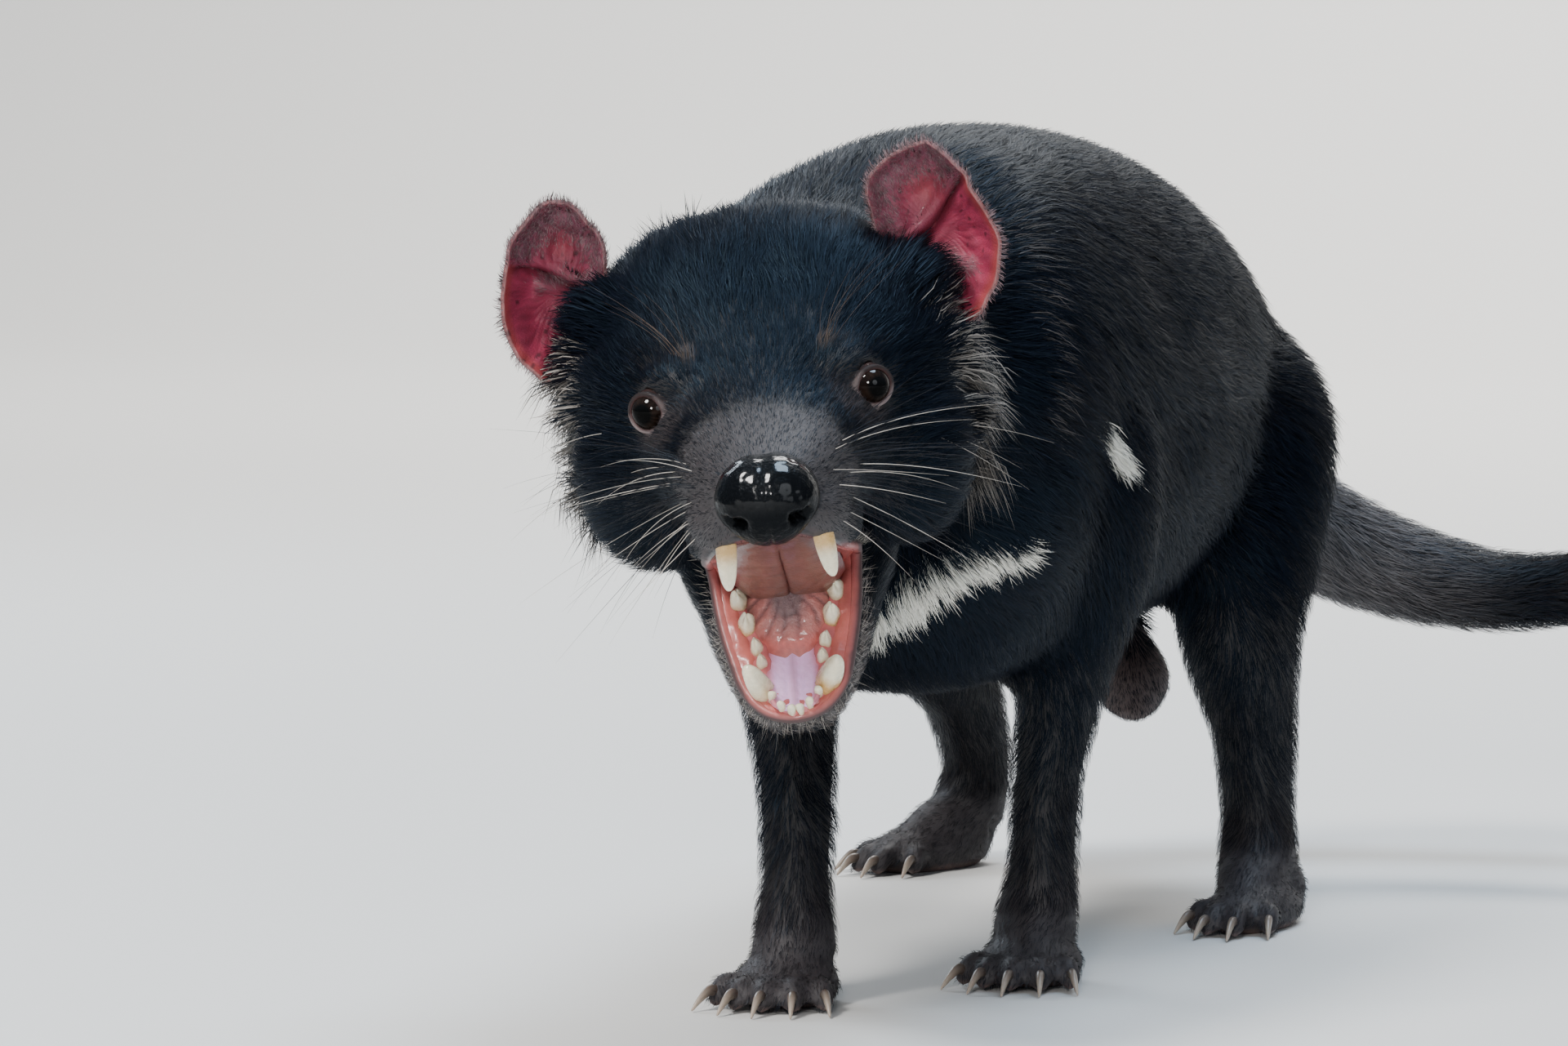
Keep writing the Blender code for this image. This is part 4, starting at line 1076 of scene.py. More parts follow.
class DEVIL_OT_skin(bpy.types.Operator):
    """Make the one skin that lies under the coat"""

    bl_idname = "devil.skin"
    bl_label = "Skin"

    def execute(self, context):
        settings = context.scene.devil_skin
        thing = build_skin(settings)
        places = vertex_places(thing)
        edges = edges_of(thing)
        Skin.thing = thing
        Skin.masks = {name: spread(mask, edges, 4) for name, mask in node_masks(places).items()}
        colour, Skin.wet = marks(places, vertex_normals(thing), Skin.masks, edges, settings)
        names = [name for group in NODE_GROUPS.values() for name in group]
        finish_piece(thing, colour, skin_finish(), "coat", *names, wet=Skin.wet)
        return {"FINISHED"}


# Coat

# The small pale tuft over each eye, in the head's frame.
BROW = mm(((20, 0, 15.5), (25.5, 2, 17.5)))
# Pieces of the coat: how many tufts each has.
COAT_PIECES = {
    "coat_head": 64000, "coat_face": 62000, "coat_neck": 52000,
    "coat_back_left": 52000, "coat_back_right": 44000, "coat_flank_left": 56000, "coat_flank_right": 46000,
    "coat_legs": 46000, "coat_tail": 28000, "coat_feet": 18000,
}
TUFTS_A_CLUMP = 11


def flow(places, normals, masks, edges):
    """The way the coat lies at every vertex of the skin."""
    head = in_head(places)
    body = in_body(places)
    turn = np.array(HEAD_TURN)
    nothing = np.zeros_like(places)
    trunk = nothing + (0, 1.0, 0)
    trunk[:, 2] -= 0.45 * np.abs(normals[:, 0])
    for name, rows in LEGS.items():
        pull = ease(0.07, 0.03, off_line(body, np.array(rows)[:4, :3]))
        lean = 0.35 if name.startswith("fore") else 0.55
        trunk += pull[:, None] * (0, lean * 0.4, -1.1)
    leg = nothing + (0, 0.22, -1.0)
    radial = unit(head - np.array((0, -0.055, -0.016))) + (0, 0.55, 0)
    radial[:, 1] += 0.5 * ease(0.0, 0.03, head[:, 2])
    ruff = ruff_mask(head)
    sideways = np.sign(head[:, :1]) * (1, 0, 0)
    radial = layered(radial, (sideways + (0, 0.35, -0.5), ruff),
                     (sideways + (0, -0.15, 0.55), ear_base_mask(head)))
    radial = radial @ turn.T
    under = nothing + np.array(JAW)[:3, 1] + np.sign(body[:, :1]) * turn[:, 0] * 0.25
    under = mix(under, radial, ruff)
    along = tail_ways(places, placed(BODY, smooth_rows(TAIL_POINTS, 4)[:, :3]))
    foot = np.zeros_like(places)
    for x, y, angle in FEET.values():
        middle = np.array(BODY @ Vector((x, y, 0)))
        near = ease(0.07, 0.05, size_of(places[:, :2] - middle[:2]))
        foot += near[:, None] * (math.sin(angle), -math.cos(angle), -0.55)
    total = np.zeros_like(places)
    for name, way in (("head", radial), ("jaw", under), ("neck", trunk), ("torso", trunk), ("tail", along),
                      ("leg", leg), ("foot", foot), ("scrotum", leg)):
        total += masks[name][:, None] * unit(way)
    total = spread(unit(total), edges, 14)
    return unit(along_surface(total, normals))


def along_surface(ways, normals):
    """Ways without the part of them that leaves the surface."""
    return ways - normals * (ways * normals).sum(1, keepdims=True)


def tail_ways(places, line):
    """The way along the nearest stretch of a line."""
    ways = unit(np.gradient(line, axis=0))
    far = np.linalg.norm(places[:, None, :] - line[None, :, :], axis=2)
    return ways[far.argmin(1)]


def patch(head, middle, radii, outer, inner):
    """An egg-shaped patch on both sides of the head: 1 in its middle, 0 outside."""
    place = head * (np.sign(head[:, :1]) * (1, 0, 0) + (0, 1, 1))
    return ease(outer, inner, size_of((place - np.array(middle)) / np.array(radii)))


def ruff_mask(head):
    """Where the long pale hairs of the cheek grow."""
    return patch(head, (0.05, 0.052, -0.014), (0.018, 0.02, 0.03), 1.3, 0.7)


def ear_base_mask(head):
    """Where the black fur stands up in front of each ear."""
    return patch(head, (0.049, 0.044, 0.03), (0.011, 0.014, 0.021), 1.15, 0.6)


def coat_fields(thing, masks):
    """Length, height, width and density of the coat at every vertex."""
    places = vertex_places(thing)
    head = in_head(places)
    out, back, up = head.T
    on_head = np.clip(masks["head"] + masks["jaw"], 0, 1)
    muzzle = muzzle_mask(head) * on_head
    ruff = ruff_mask(head) * on_head
    cheek = ease(0.03, 0.042, np.abs(out)) * ease(0.0, 0.02, back) * on_head * (up < 0.01) * 0.8
    tuft = ear_base_mask(head) * on_head
    crown = ease(0.018, 0.036, up) * ease(0.0, 0.035, back) * on_head * (1 - tuft)
    length = layered(
        0.0155 * masks["torso"] + 0.015 * masks["neck"] + 0.013 * masks["tail"] + 0.008 * masks["leg"]
        + 0.004 * masks["foot"] + 0.003 * masks["scrotum"] + 0.0085 * on_head,
        (0.011, ease(0.165, 0.11, in_body(places)[:, 2]) * (masks["torso"] + masks["neck"])),
        (0.0042, ease(0.035, -0.02, back) * on_head),
        (0.0018, muzzle),
        (0.0045, masks["jaw"] * ease(0.03, 0.0, back)),
        (0.0125, cheek),
        (0.021, ruff),
        (0.017, tuft),
        (0.0125, crown),
    )
    height = layered(
        skin_depth(places) * 0.82 + 0.0014 * masks["tail"],
        (0.005, cheek),
        (0.006 + 0.01 * ease(-0.6, 0.9, waves(places, 0.011, 43)), ruff),
        (0.0105, tuft),
        (0.0048, crown * (0.5 + 0.5 * ease(-0.5, 1.0, waves(places, 0.014, 41)))),
    )
    above = in_body(places + vertex_normals(thing) * skin_depth(places)[:, None])
    near_white = white_mask(above, -0.004) * (1 - on_head)
    length = np.where(near_white > 0, np.minimum(length, 0.01), length)
    width = np.clip(length / 0.0155, 0.42, 1.1) * (1 + 0.25 * (near_white > 0))
    density = 1.0 / np.clip(length / 0.0155, 0.3, 1.4) ** 0.9 * (1 + 0.8 * near_white)
    density = mix(density, 1.3, muzzle)
    for side, _ in SIDES:
        eye = size_of(head - mirrored(EYE_PLACE, side))
        density *= ease(0.0084, 0.0098, eye)
        length *= 0.4 + 0.6 * ease(0.009, 0.02, eye)
        brow = ease(0.005, 0.002, off_line(head, mirrored(BROW, side))) * on_head
        length = mix(length, 0.008, brow)
        height = mix(height, 0.004, brow)
    lip = off_line(places, lip_line())
    length *= 0.35 + 0.65 * ease(0.003, 0.012, lip)
    nose = size_of((head - np.array((0, -0.054, -0.022))) / np.array((0.015, 0.015, 0.013)))
    for bare in (1 - Skin.wet, ease(0.0026, 0.0042, lip), ease(1.02, 1.2, in_hollows(places)),
                 ease(0.95, 1.1, nose), ease(0.0015, 0.004, places[:, 2]), 1 - 0.35 * masks["foot"]):
        density *= bare
    return length, height, width, density


def triangles_of(thing):
    """The corners of every triangle and their places in the UV map."""
    mesh = thing.data
    mesh.calc_loop_triangles()
    maps = table_of(mesh.uv_layers["OFBake"].data, "uv", 2)
    loops = table_of(mesh.loop_triangles, "loops", 3, np.int32)
    return table_of(mesh.loop_triangles, "vertices", 3, np.int32), maps[loops]


def scatter(draw, corners, maps, places, weight, count):
    """Roots spread over the triangles by area and weight."""
    a, b, c = (places[corners[:, index]] for index in range(3))
    area = size_of(np.cross(b - a, c - a)) * 0.5
    chance = area * weight[corners].mean(1)
    chosen = draw.choice(len(corners), count, p=chance / chance.sum())
    first, second = draw.random((2, count))
    over = first + second > 1
    first[over], second[over] = 1 - first[over], 1 - second[over]
    shares = np.stack([1 - first - second, first, second], 1)
    where = (maps[chosen] * shares[:, :, None]).sum(1)
    return corners[chosen], shares, where


def blended(values, corners, shares):
    """Vertex values at the roots."""
    return (values[corners] * (shares if values.ndim == 1 else shares[:, :, None])).sum(1)


def blades(name, draw, roots, ways, normals, length, height, width, colour, where, clump=0.38,
           swirl=0.17, tip_tint=1.25, curl=0.6):
    """Flat tapered tufts as one mesh: a root pair, a middle pair and a tip each."""
    count = len(roots)
    across = unit(np.cross(ways, normals))
    yaw = draw.normal(0, swirl, count) + 0.22 * waves(roots, 0.03, 5)
    ways = unit(ways * np.cos(yaw)[:, None] + across * np.sin(yaw)[:, None])
    length = length * np.clip(draw.normal(1.0, 0.2, count), 0.45, 1.6)
    height = height * np.clip(draw.normal(1.0, 0.3, count), 0.25, 1.5)
    tips = roots + ways * length[:, None] + normals * height[:, None]
    heads = draw.choice(count, max(count // TUFTS_A_CLUMP, 2), replace=False)
    tree = KDTree(len(heads))
    for index, place in enumerate(roots[heads].tolist()):
        tree.insert(place, index)
    tree.balance()
    nearest = heads[np.array([tree.find(place)[1] for place in roots.tolist()])]
    share = clump * draw.uniform(0.5, 1.0, count)
    near = size_of(roots[nearest] - roots) < length * 0.9
    share = (share * near)[:, None]
    tips = tips * (1 - share) + tips[nearest] * share + draw.normal(0, 0.0002, (count, 3))
    middle = roots * 0.48 + tips * 0.52 + normals * (height * 0.3)[:, None]
    middle += across * (draw.normal(0, 0.06, count) * length)[:, None] * curl
    roll = draw.normal(0, 0.45, count)
    side = unit(across * np.cos(roll)[:, None] + normals * np.sin(roll)[:, None]) * (width * 0.5)[:, None]
    sunk = roots - normals * 0.0004
    points = np.stack([sunk - side, sunk + side, middle - side * 0.85, middle + side * 0.85, tips], 1)
    points[..., 2] = np.maximum(points[..., 2], 0.0002)
    first = (np.arange(count) * 5)[:, None]
    corners = (first + np.array([0, 1, 3, 2, 2, 3, 4])).ravel()
    starts = (np.arange(count)[:, None] * 7 + np.array([0, 4])).ravel()
    mesh = bpy.data.meshes.new(name)
    mesh.vertices.add(count * 5)
    mesh.vertices.foreach_set("co", points.astype(np.float32).ravel())
    mesh.loops.add(count * 7)
    mesh.loops.foreach_set("vertex_index", corners.astype(np.int32))
    mesh.polygons.add(count * 2)
    mesh.polygons.foreach_set("loop_start", starts.astype(np.int32))
    mesh.polygons.foreach_set("use_smooth", np.ones(count * 2, bool))
    mesh.update(calc_edges=True)
    patch = np.array([(-1, -1), (1, -1), (-0.8, 0), (0.8, 0), (0, 1)]) * 0.0015
    corner_maps = (np.clip(where, 0.002, 0.998)[:, None, :] + patch[None])[:, [0, 1, 3, 2, 2, 3, 4]]
    layer = mesh.uv_layers.new(name="OFBake")
    layer.data.foreach_set("uv", corner_maps.astype(np.float32).ravel())
    thing = bpy.data.objects.new(name, mesh)
    bpy.context.scene.collection.objects.link(thing)
    face = np.cross(side, tips - sunk)
    face *= np.sign((face * normals).sum(1, keepdims=True))
    soft = np.repeat(unit(unit(face) * 0.55 + normals * 0.45), 5, 0)
    mesh.normals_split_custom_set_from_vertices(soft.tolist())
    shades = np.stack([colour * 0.6, colour * 0.6, colour, colour, colour * tip_tint], 1).reshape(-1, 3)
    put_colour(thing, shades)
    return thing


def recolour(draw, colour, chosen, tone, low, high):
    """Give the chosen tufts a tone of their own, some darker and some lighter."""
    colour[chosen] = np.array(tone) * draw.uniform(low, high, (chosen.sum(), 1))


def hair_colours(draw, roots, middles, settings, masks):
    """Colour of each tuft from where it grows and, for the white marks, from where it shows."""
    count = len(roots)
    head = in_head(roots)
    body = in_body(roots)
    worn = 0.22 * np.clip(waves(roots, 0.06, 9), 0, 1)
    rump = ease(0.24, 0.33, body[:, 1]) * 0.35
    tail = masks["tail"] * ease(0.14, 0.04, body[:, 0]) * ease(0.33, 0.385, body[:, 1])
    low = masks["leg"] * ease(0.08, 0.03, body[:, 2])
    colour = layered(
        even_tone(settings.black, count) * np.exp(draw.normal(0, 0.42, count))[:, None],
        ((0.026, 0.018, 0.014), np.clip(worn + rump, 0, 1) * draw.random(count)),
        ((0.27, 0.25, 0.25), tail * draw.random(count) ** 0.8),
        ((0.034, 0.027, 0.027), low * draw.random(count) * 0.8),
        ((0.042, 0.036, 0.038), masks["foot"] * draw.random(count)),
    )
    muzzle = muzzle_mask(head)
    pale = (draw.random(count) < 0.34) * draw.uniform(0.4, 1.0, count)
    colour = layered(colour, ((0.014, 0.013, 0.015), muzzle * (pale == 0)),
                     ((0.125, 0.113, 0.113), muzzle * pale))
    for side, _ in SIDES:
        eye = size_of(head - mirrored((0.03, -0.004, 0.0), side))
        ring = ease(0.015, 0.01, eye) * ease(0.008, -0.003, head[:, 2])
        brow = ease(0.0042, 0.0018, off_line(head, mirrored(BROW, side)))
        colour = layered(colour, ((0.062, 0.05, 0.049), ring * draw.random(count)),
                         ((0.23, 0.165, 0.115), brow * draw.random(count) ** 0.6))
    ruff = ruff_mask(head) * (masks["head"] + masks["jaw"])
    recolour(draw, colour, draw.random(count) < ruff * 0.6, settings.grey, 0.3, 1.4)
    margin = ease(0.01, 0.0055, off_line(roots, lip_line())) * ease(-0.042, -0.048, head[:, 2])
    recolour(draw, colour, draw.random(count) < margin * 0.75, (0.33, 0.3, 0.285), 0.4, 1.2)
    chin = masks["jaw"] * ease(0.012, -0.006, head[:, 1])
    recolour(draw, colour, draw.random(count) < chin * 0.35, (0.15, 0.12, 0.105), 0.5, 1.3)
    # Paler tufts along these folds: a painted sheen, highlights painted into the hair's colour.
    for line in PAINTED_SHEEN_FOLDS:
        painted_sheen = ease(0.012, 0.001, off_line(body, line))
        recolour(draw, colour, draw.random(count) < painted_sheen * 0.45, (0.062, 0.056, 0.054), 0.4, 1.3)
    white = white_mask(in_body(middles), draw.normal(0, 0.0007, count)) > 0.5
    recolour(draw, colour, white, settings.white, 0.7, 1.15)
    return np.clip(colour, 0, 1)


def white_mask(body, ragged):
    """Which places lie in the white marks of the chest and the shoulder."""
    ragged = ragged + 0.0011 * waves(body, 0.008, 21)
    band, along = line_distance(body, CHEST_BAND)
    half = 0.0066 - 0.0036 * ease(0.4, 1.0, along)
    spot = off_line(body, SHOULDER_SPOT)
    inside = (band + ragged < half) | (spot + ragged < 0.0046)
    return inside.astype(float)


def coat_regions(places, masks):
    """Weight of each vertex in each piece of the coat."""
    body = in_body(places)
    head = in_head(places)
    left = body[:, 0] > 0
    high = body[:, 2] > 0.195
    face = (head[:, 1] < 0.022) | (head[:, 2] < -0.03)
    on_head = masks["head"] + masks["jaw"]
    torso = masks["torso"] * (body[:, 1] >= 0.0)
    return {
        "coat_head": on_head * ~face,
        "coat_face": on_head * face,
        "coat_neck": masks["neck"] + masks["torso"] * (body[:, 1] < 0.0),
        "coat_back_left": torso * left * high,
        "coat_back_right": torso * ~left * high,
        "coat_flank_left": torso * left * ~high,
        "coat_flank_right": torso * ~left * ~high,
        "coat_legs": masks["leg"],
        "coat_tail": masks["tail"],
        "coat_feet": masks["foot"] + masks["scrotum"],
    }


def build_coat(settings):
    thing = Skin.thing
    masks = Skin.masks
    places = vertex_places(thing)
    edges = edges_of(thing)
    normals = unit(spread(vertex_normals(thing), edges, 3))
    ways = flow(places, normals, masks, edges)
    *sizes, density = coat_fields(thing, masks)
    regions = coat_regions(places, masks)
    corners, maps = triangles_of(thing)
    material = hair_finish()
    # A less shiny copy of the hair finish for the legs and flanks, which lie in shade: a shaded copy of the
    # material, painted shade.
    shaded_hair = hair_finish("hair_shaded_copy", 0.46, 0.11)
    for index, (name, count) in enumerate(COAT_PIECES.items()):
        draw = np.random.default_rng(settings.seed + index)
        weight = regions[name] * density
        picked, shares, where = scatter(draw, corners, maps, places, weight, int(count * settings.share))
        roots, out, way, length, height, width = (blended(values, picked, shares)
                                                  for values in (places, normals, ways, *sizes))
        out = unit(out)
        way = unit(along_surface(way, out))
        here = {key: blended(mask, picked, shares) for key, mask in masks.items()}
        shown = roots + way * (length * 0.55)[:, None] + out * (height * 1.15)[:, None]
        colour = hair_colours(draw, roots, shown, settings, here)
        piece = blades(name, draw, roots, way, out, length, height, width * settings.width, colour, where)
        dress(piece, shaded_hair if name.startswith(("coat_legs", "coat_flank")) else material, "coat")


class DEVIL_OT_coat(bpy.types.Operator):
    """Cover the skin with tufts that lie the way the coat does"""

    bl_idname = "devil.coat"
    bl_label = "Coat"

    def execute(self, context):
        if Skin.thing is None:
            raise RuntimeError("make the skin before the coat")
        build_coat(context.scene.devil_coat)
        return {"FINISHED"}


# Eyes

# A ball with its poles on Y.
LYING = Matrix.Rotation(math.radians(90), 4, "X")


def gaze(side):
    """The eye's frame: its -Y looks out of the eye."""
    return HEAD @ Matrix.Translation(mirrored(EYE_PLACE, side)) @ Matrix.Rotation(EYE_TURN * side, 4, "Z")


def build_eye(side, name):
    points, faces = ball((0, 0, 0), (1, 1, 1), LYING, 56, 40)
    away = np.arccos(np.clip(-points[:, 1], -1, 1))
    iris = math.radians(52)
    pupil = math.radians(27)
    bulge = 0.06 * np.clip(1 - (away / iris) ** 2, 0, 1)
    turn = np.arctan2(points[:, 2], points[:, 0])
    streak = 0.5 + 0.5 * np.sin(turn * 46 + 3 * np.sin(turn * 7))
    colour = layered(
        even_tone((0.011, 0.0066, 0.005), len(points)) * (0.55 + 0.9 * streak)[:, None],
        ((0.002, 0.002, 0.002), ease(pupil + 0.05, pupil - 0.05, away)),
        ((0.012, 0.008, 0.007), ease(iris - 0.12, iris, away)),
        ((0.035, 0.02, 0.018), ease(iris + 0.12, iris + 0.3, away)),
    )
    points = placed(gaze(side), points * (EYE_RADIUS * (1 + bulge))[:, None])
    thing = facing_out(object_from("eye_" + name, points, faces))
    upward = unit(vertex_places(thing) - np.array(gaze(side).translation))[:, 2]
    finish = Finish("eye_" + name)
    material = finish.surface(base_color=finish.markings(), roughness=0.05, specular_ior_level=0.03,
                              coat_weight=finish.wet(), coat_roughness=0.03)
    finish_piece(thing, colour, material, "eye", "eye_" + name, wet=0.75 * ease(-0.12, 0.25, upward))


def build_lids():
    """A rounded rim of bare lid round each eye, blended into the skin."""
    shapes = []
    colours = []
    tree = tree_of(*mesh_arrays(Skin.thing))
    steps = 72
    for side, _ in SIDES:
        matrix = gaze(side)
        centre = np.array(matrix.translation)
        turn = np.array(matrix)[:3, :3]
        rings = []
        tints = []
        c = np.cos(round_angles(steps)) * side
        s = np.sin(round_angles(steps))
        nasal = ease(0.2, 1.0, -c * side)
        for grow, lift, share in ((0.92, -0.0006, 0.0), (0.97, 0.0002, 0.0), (1.02, 0.0008, 0.0),
                                  (1.1, 0.0011, 0.1), (1.2, 0.001, 0.35), (1.35, 0.0005, 0.75),
                                  (1.55, -0.0003, 1.0), (1.75, -0.0012, 1.0)):
            wide = math.radians(53) * (1 + (grow - 1) * (0.75 + 0.35 * nasal))
            tall = math.radians(48) * (1 + (grow - 1) * 0.8)
            x = np.sign(c) * np.abs(c) ** 0.92 * np.sin(np.minimum(wide, 1.5))
            z = s * np.abs(s) ** 0.22 * math.sin(min(tall, 1.5))
            y = -np.sqrt(np.clip(1 - x * x - z * z, 0.0, 1))
            ways = unit(np.stack([x, y, z], 1)) @ turn.T
            reach = np.full(steps, EYE_RADIUS + lift)
            if share > 0:
                for index, way in enumerate(ways):
                    start = centre + way * 0.03
                    hit = tree.ray_cast(Vector(start), Vector(-way))
                    if hit[0] is not None:
                        found = 0.03 - hit[3]
                        if found > EYE_RADIUS * 0.6:
                            reach[index] += (found - EYE_RADIUS) * share
            rings.append(centre + ways * reach[:, None])
            pale = np.clip(nasal * 0.5 + ease(0.2, -0.8, s) * 0.9 - 0.1, 0, 1)
            tints.append(layered(even_tone((0.026, 0.02, 0.02), steps), ((0.225, 0.18, 0.178), pale),
                                 ((0.02, 0.016, 0.017), ease(1.1, 1.42, grow)),
                                 ((0.05, 0.018, 0.018), ease(1.02, 0.94, grow))))
        points, faces = skinned(rings, caps=False)
        inner = centre + (points - centre) * 0.93
        count = len(points)
        last = (len(rings) - 1) * steps
        wall = [tuple(index + count for index in face[::-1]) for face in faces]
        for index in range(steps):
            after = (index + 1) % steps
            wall.append((index, index + count, after + count, after))
            wall.append((last + index, last + after, last + after + count, last + index + count))
        shapes.append((np.concatenate([points, inner]), faces + wall))
        colours.append(np.concatenate(tints * 2))
    thing = facing_out(object_from("eyelids", *joined(shapes)))
    finish = wet_finish("eyelid", 0.55, 1500.0, 0.5, 0.04, 0.05, 0.12)
    finish_piece(thing, np.concatenate(colours), finish, "coat")


class DEVIL_OT_eyes(bpy.types.Operator):
    """Make the eyes and their lids"""

    bl_idname = "devil.eyes"
    bl_label = "Eyes"

    def execute(self, context):
        for side, name in SIDES:
            build_eye(side, name)
        build_lids()
        return {"FINISHED"}


# Nose

NOSE_CENTRE = np.array((0.0012, -0.049, -0.022))
NOSE_RADII = np.array((0.0158, 0.0145, 0.014))
NOSTRIL_LINE = ((0.0088, 0, -0.005), (0.011, 0, -0.0046), (0.0123, 0, -0.0034))
NOSE_WING = ((0.0085, 0, -0.003), (0.0115, 0, -0.001), (0.0135, 0, 0.002))


def build_nose():
    """The nose pad, with its nostrils, groove and pebbled skin."""
    points, faces = ball((0, 0, 0), (1, 1, 1), LYING, 120, 90)
    shape = np.sign(points) * np.abs(points) ** (0.94, 0.86, 0.94) * NOSE_RADII
    shape[:, 0] *= 1 - 0.16 * ease(0.0, -1.0, points[:, 2])
    front = ease(0.1, -0.4, points[:, 1])
    dent = np.zeros(len(points))
    dark = np.zeros(len(points))
    for side, _ in SIDES:
        flat = shape * (1, 0, 1)
        far, along = line_distance(flat, mirrored(NOSTRIL_LINE, side))
        hole = bell(far, 0.0021 - 0.001 * along) * front
        dent += hole * 0.0042
        dark = np.maximum(dark, hole)
        dent -= bell(off_line(flat, mirrored(NOSE_WING, side)), 0.0026) * front * 0.0005
    dent += bell(shape[:, 0], 0.0007) * ease(-0.003, -0.009, shape[:, 2]) * front * 0.0008
    dent += bell(shape[:, 0], 0.0035) * ease(0.2, 1.0, points[:, 2]) * 0.0008
    dent += 0.00009 * waves(shape, 0.0034, 61) * ease(0.3, -0.1, points[:, 1])
    shape -= unit(points) * dent[:, None]
    thing = facing_out(object_from("nose_pad", placed(HEAD, shape + NOSE_CENTRE), faces))
    # The nostril holes are painted darker than the pad: painted shade in the holes.
    black = even_tone((0.0016, 0.0017, 0.0022), len(points))
    colour = mix(black, (0.001, 0.001, 0.001), np.clip(dark * 1.3, 0, 1))
    wet = 0.75 * ease(-0.25, 0.55, points[:, 2]) + 0.06
    finish = Finish("nose_pad")
    pebbles = finish.number("ShaderNodeTexVoronoi", {}, {"Vector": finish.places(), "Scale": 1100.0})
    material = finish.surface(base_color=finish.markings(), roughness=0.26 + 0.24 * finish.noise(260.0, 3.0),
                              coat_weight=finish.wet(), coat_roughness=0.13, specular_ior_level=0.06,
                              specular_tint=(0.75, 0.88, 1.0, 1.0), normal=finish.bump(pebbles, 0.34, 0.0005))
    finish_piece(thing, colour, material, "nose_pad", "nose", wet=wet)


class DEVIL_OT_nose(bpy.types.Operator):
    """Make the wet nose pad with its nostrils"""

    bl_idname = "devil.nose"
    bl_label = "Nose"

    def execute(self, context):
        build_nose()
        return {"FINISHED"}


# Ears

# Each ear's outline in centimetres, out and up in the head's frame, from the top round to the outside.
EAR_OUTLINES = {
    "left": (
        (5.8, 6.57), (5.14, 6.45), (4.68, 6.25), (4.26, 5.99), (3.9, 5.6), (3.78, 5.1), (3.86, 4.4),
        (4.0, 3.48), (4.36, 2.65), (4.98, 1.9), (5.55, 1.3), (6.02, 0.88), (6.4, 0.62), (6.86, 0.98),
        (7.15, 1.39), (7.46, 1.88), (7.62, 2.38), (7.74, 3.02), (7.71, 3.49), (7.53, 3.95), (7.29, 4.5),
        (7.04, 5.0), (6.96, 5.39), (6.71, 5.72), (6.4, 6.1), (6.12, 6.38),
    ),
    "right": (
        (5.8, 6.1), (5.44, 5.93), (5.18, 5.6), (4.98, 5.25), (4.72, 4.92), (4.6, 4.4), (4.66, 3.76),
        (4.8, 3.0), (4.95, 2.3), (5.2, 1.6), (5.6, 1.0), (6.2, 0.55), (6.83, 0.36), (7.24, 0.73),
        (7.69, 1.31), (7.92, 1.91), (8.01, 2.58), (7.96, 3.23), (7.82, 3.86), (7.66, 4.37), (7.54, 4.86),
        (7.28, 5.22), (6.9, 5.6), (6.52, 5.95), (6.16, 6.12),
    ),
}
EAR_CENTRES = {"left": (5.75, 3.7), "right": (6.15, 3.1)}
EAR_FACE = 0.055
EAR_CUP = 0.0125
EAR_THICK = 0.0012
# Features in centimetres: the crease from the rim to the middle, the warm hollow above it and
# the notch below; shade is painted dark into the crease and the notch.
EAR_CREASE = {"left": ((6.98, 5.45), (6.35, 4.55), (5.95, 3.95), (5.35, 3.3)),
              "right": ((7.76, 4.22), (6.9, 3.85), (6.3, 3.45), (5.7, 3.05))}
EAR_HOLLOW = {"left": (5.6, 4.9), "right": (6.0, 4.55)}
EAR_NOTCH = {"left": (5.3, 3.2), "right": (6.25, 1.35)}
EAR_RIDGES = {"left": ((4.6, 2.7), (5.6, 2.75), (6.6, 2.4)), "right": ((6.7, 3.4), (6.0, 3.35), (5.2, 3.1))}
EAR_LOBES = {"left": ((5.1, 1.9), (5.8, 1.4)), "right": ((5.3, 2.1), (5.8, 1.75))}
EAR_HAIRS = 13000
EAR_AROUND = 150
EAR_STEPS = 46


def flat_line(line):
    """A line in the ear's plane with a depth of nothing."""
    return np.insert(np.array(line, float), 1, 0.0, axis=1)


def ear_features(name, spots):
    """Strength of the ear's crease, hollow, notch, ridges and lobes at places in its plane."""
    crease, along = line_distance(spots, flat_line(EAR_CREASE[name]))
    return {
        "crease": bell(crease, 0.1 + 0.1 * along),
        "bank": bell(crease - 0.34, 0.18),
        "hollow": bell(size_of(spots - flat_line([EAR_HOLLOW[name]])), 0.62),
        "notch": bell(size_of(spots - flat_line([EAR_NOTCH[name]])), 0.3),
        "ridge": bell(off_line(spots, flat_line(EAR_RIDGES[name])), 0.26),
        "lobe": bell(off_line(spots, flat_line(EAR_LOBES[name])), 0.24),
    }


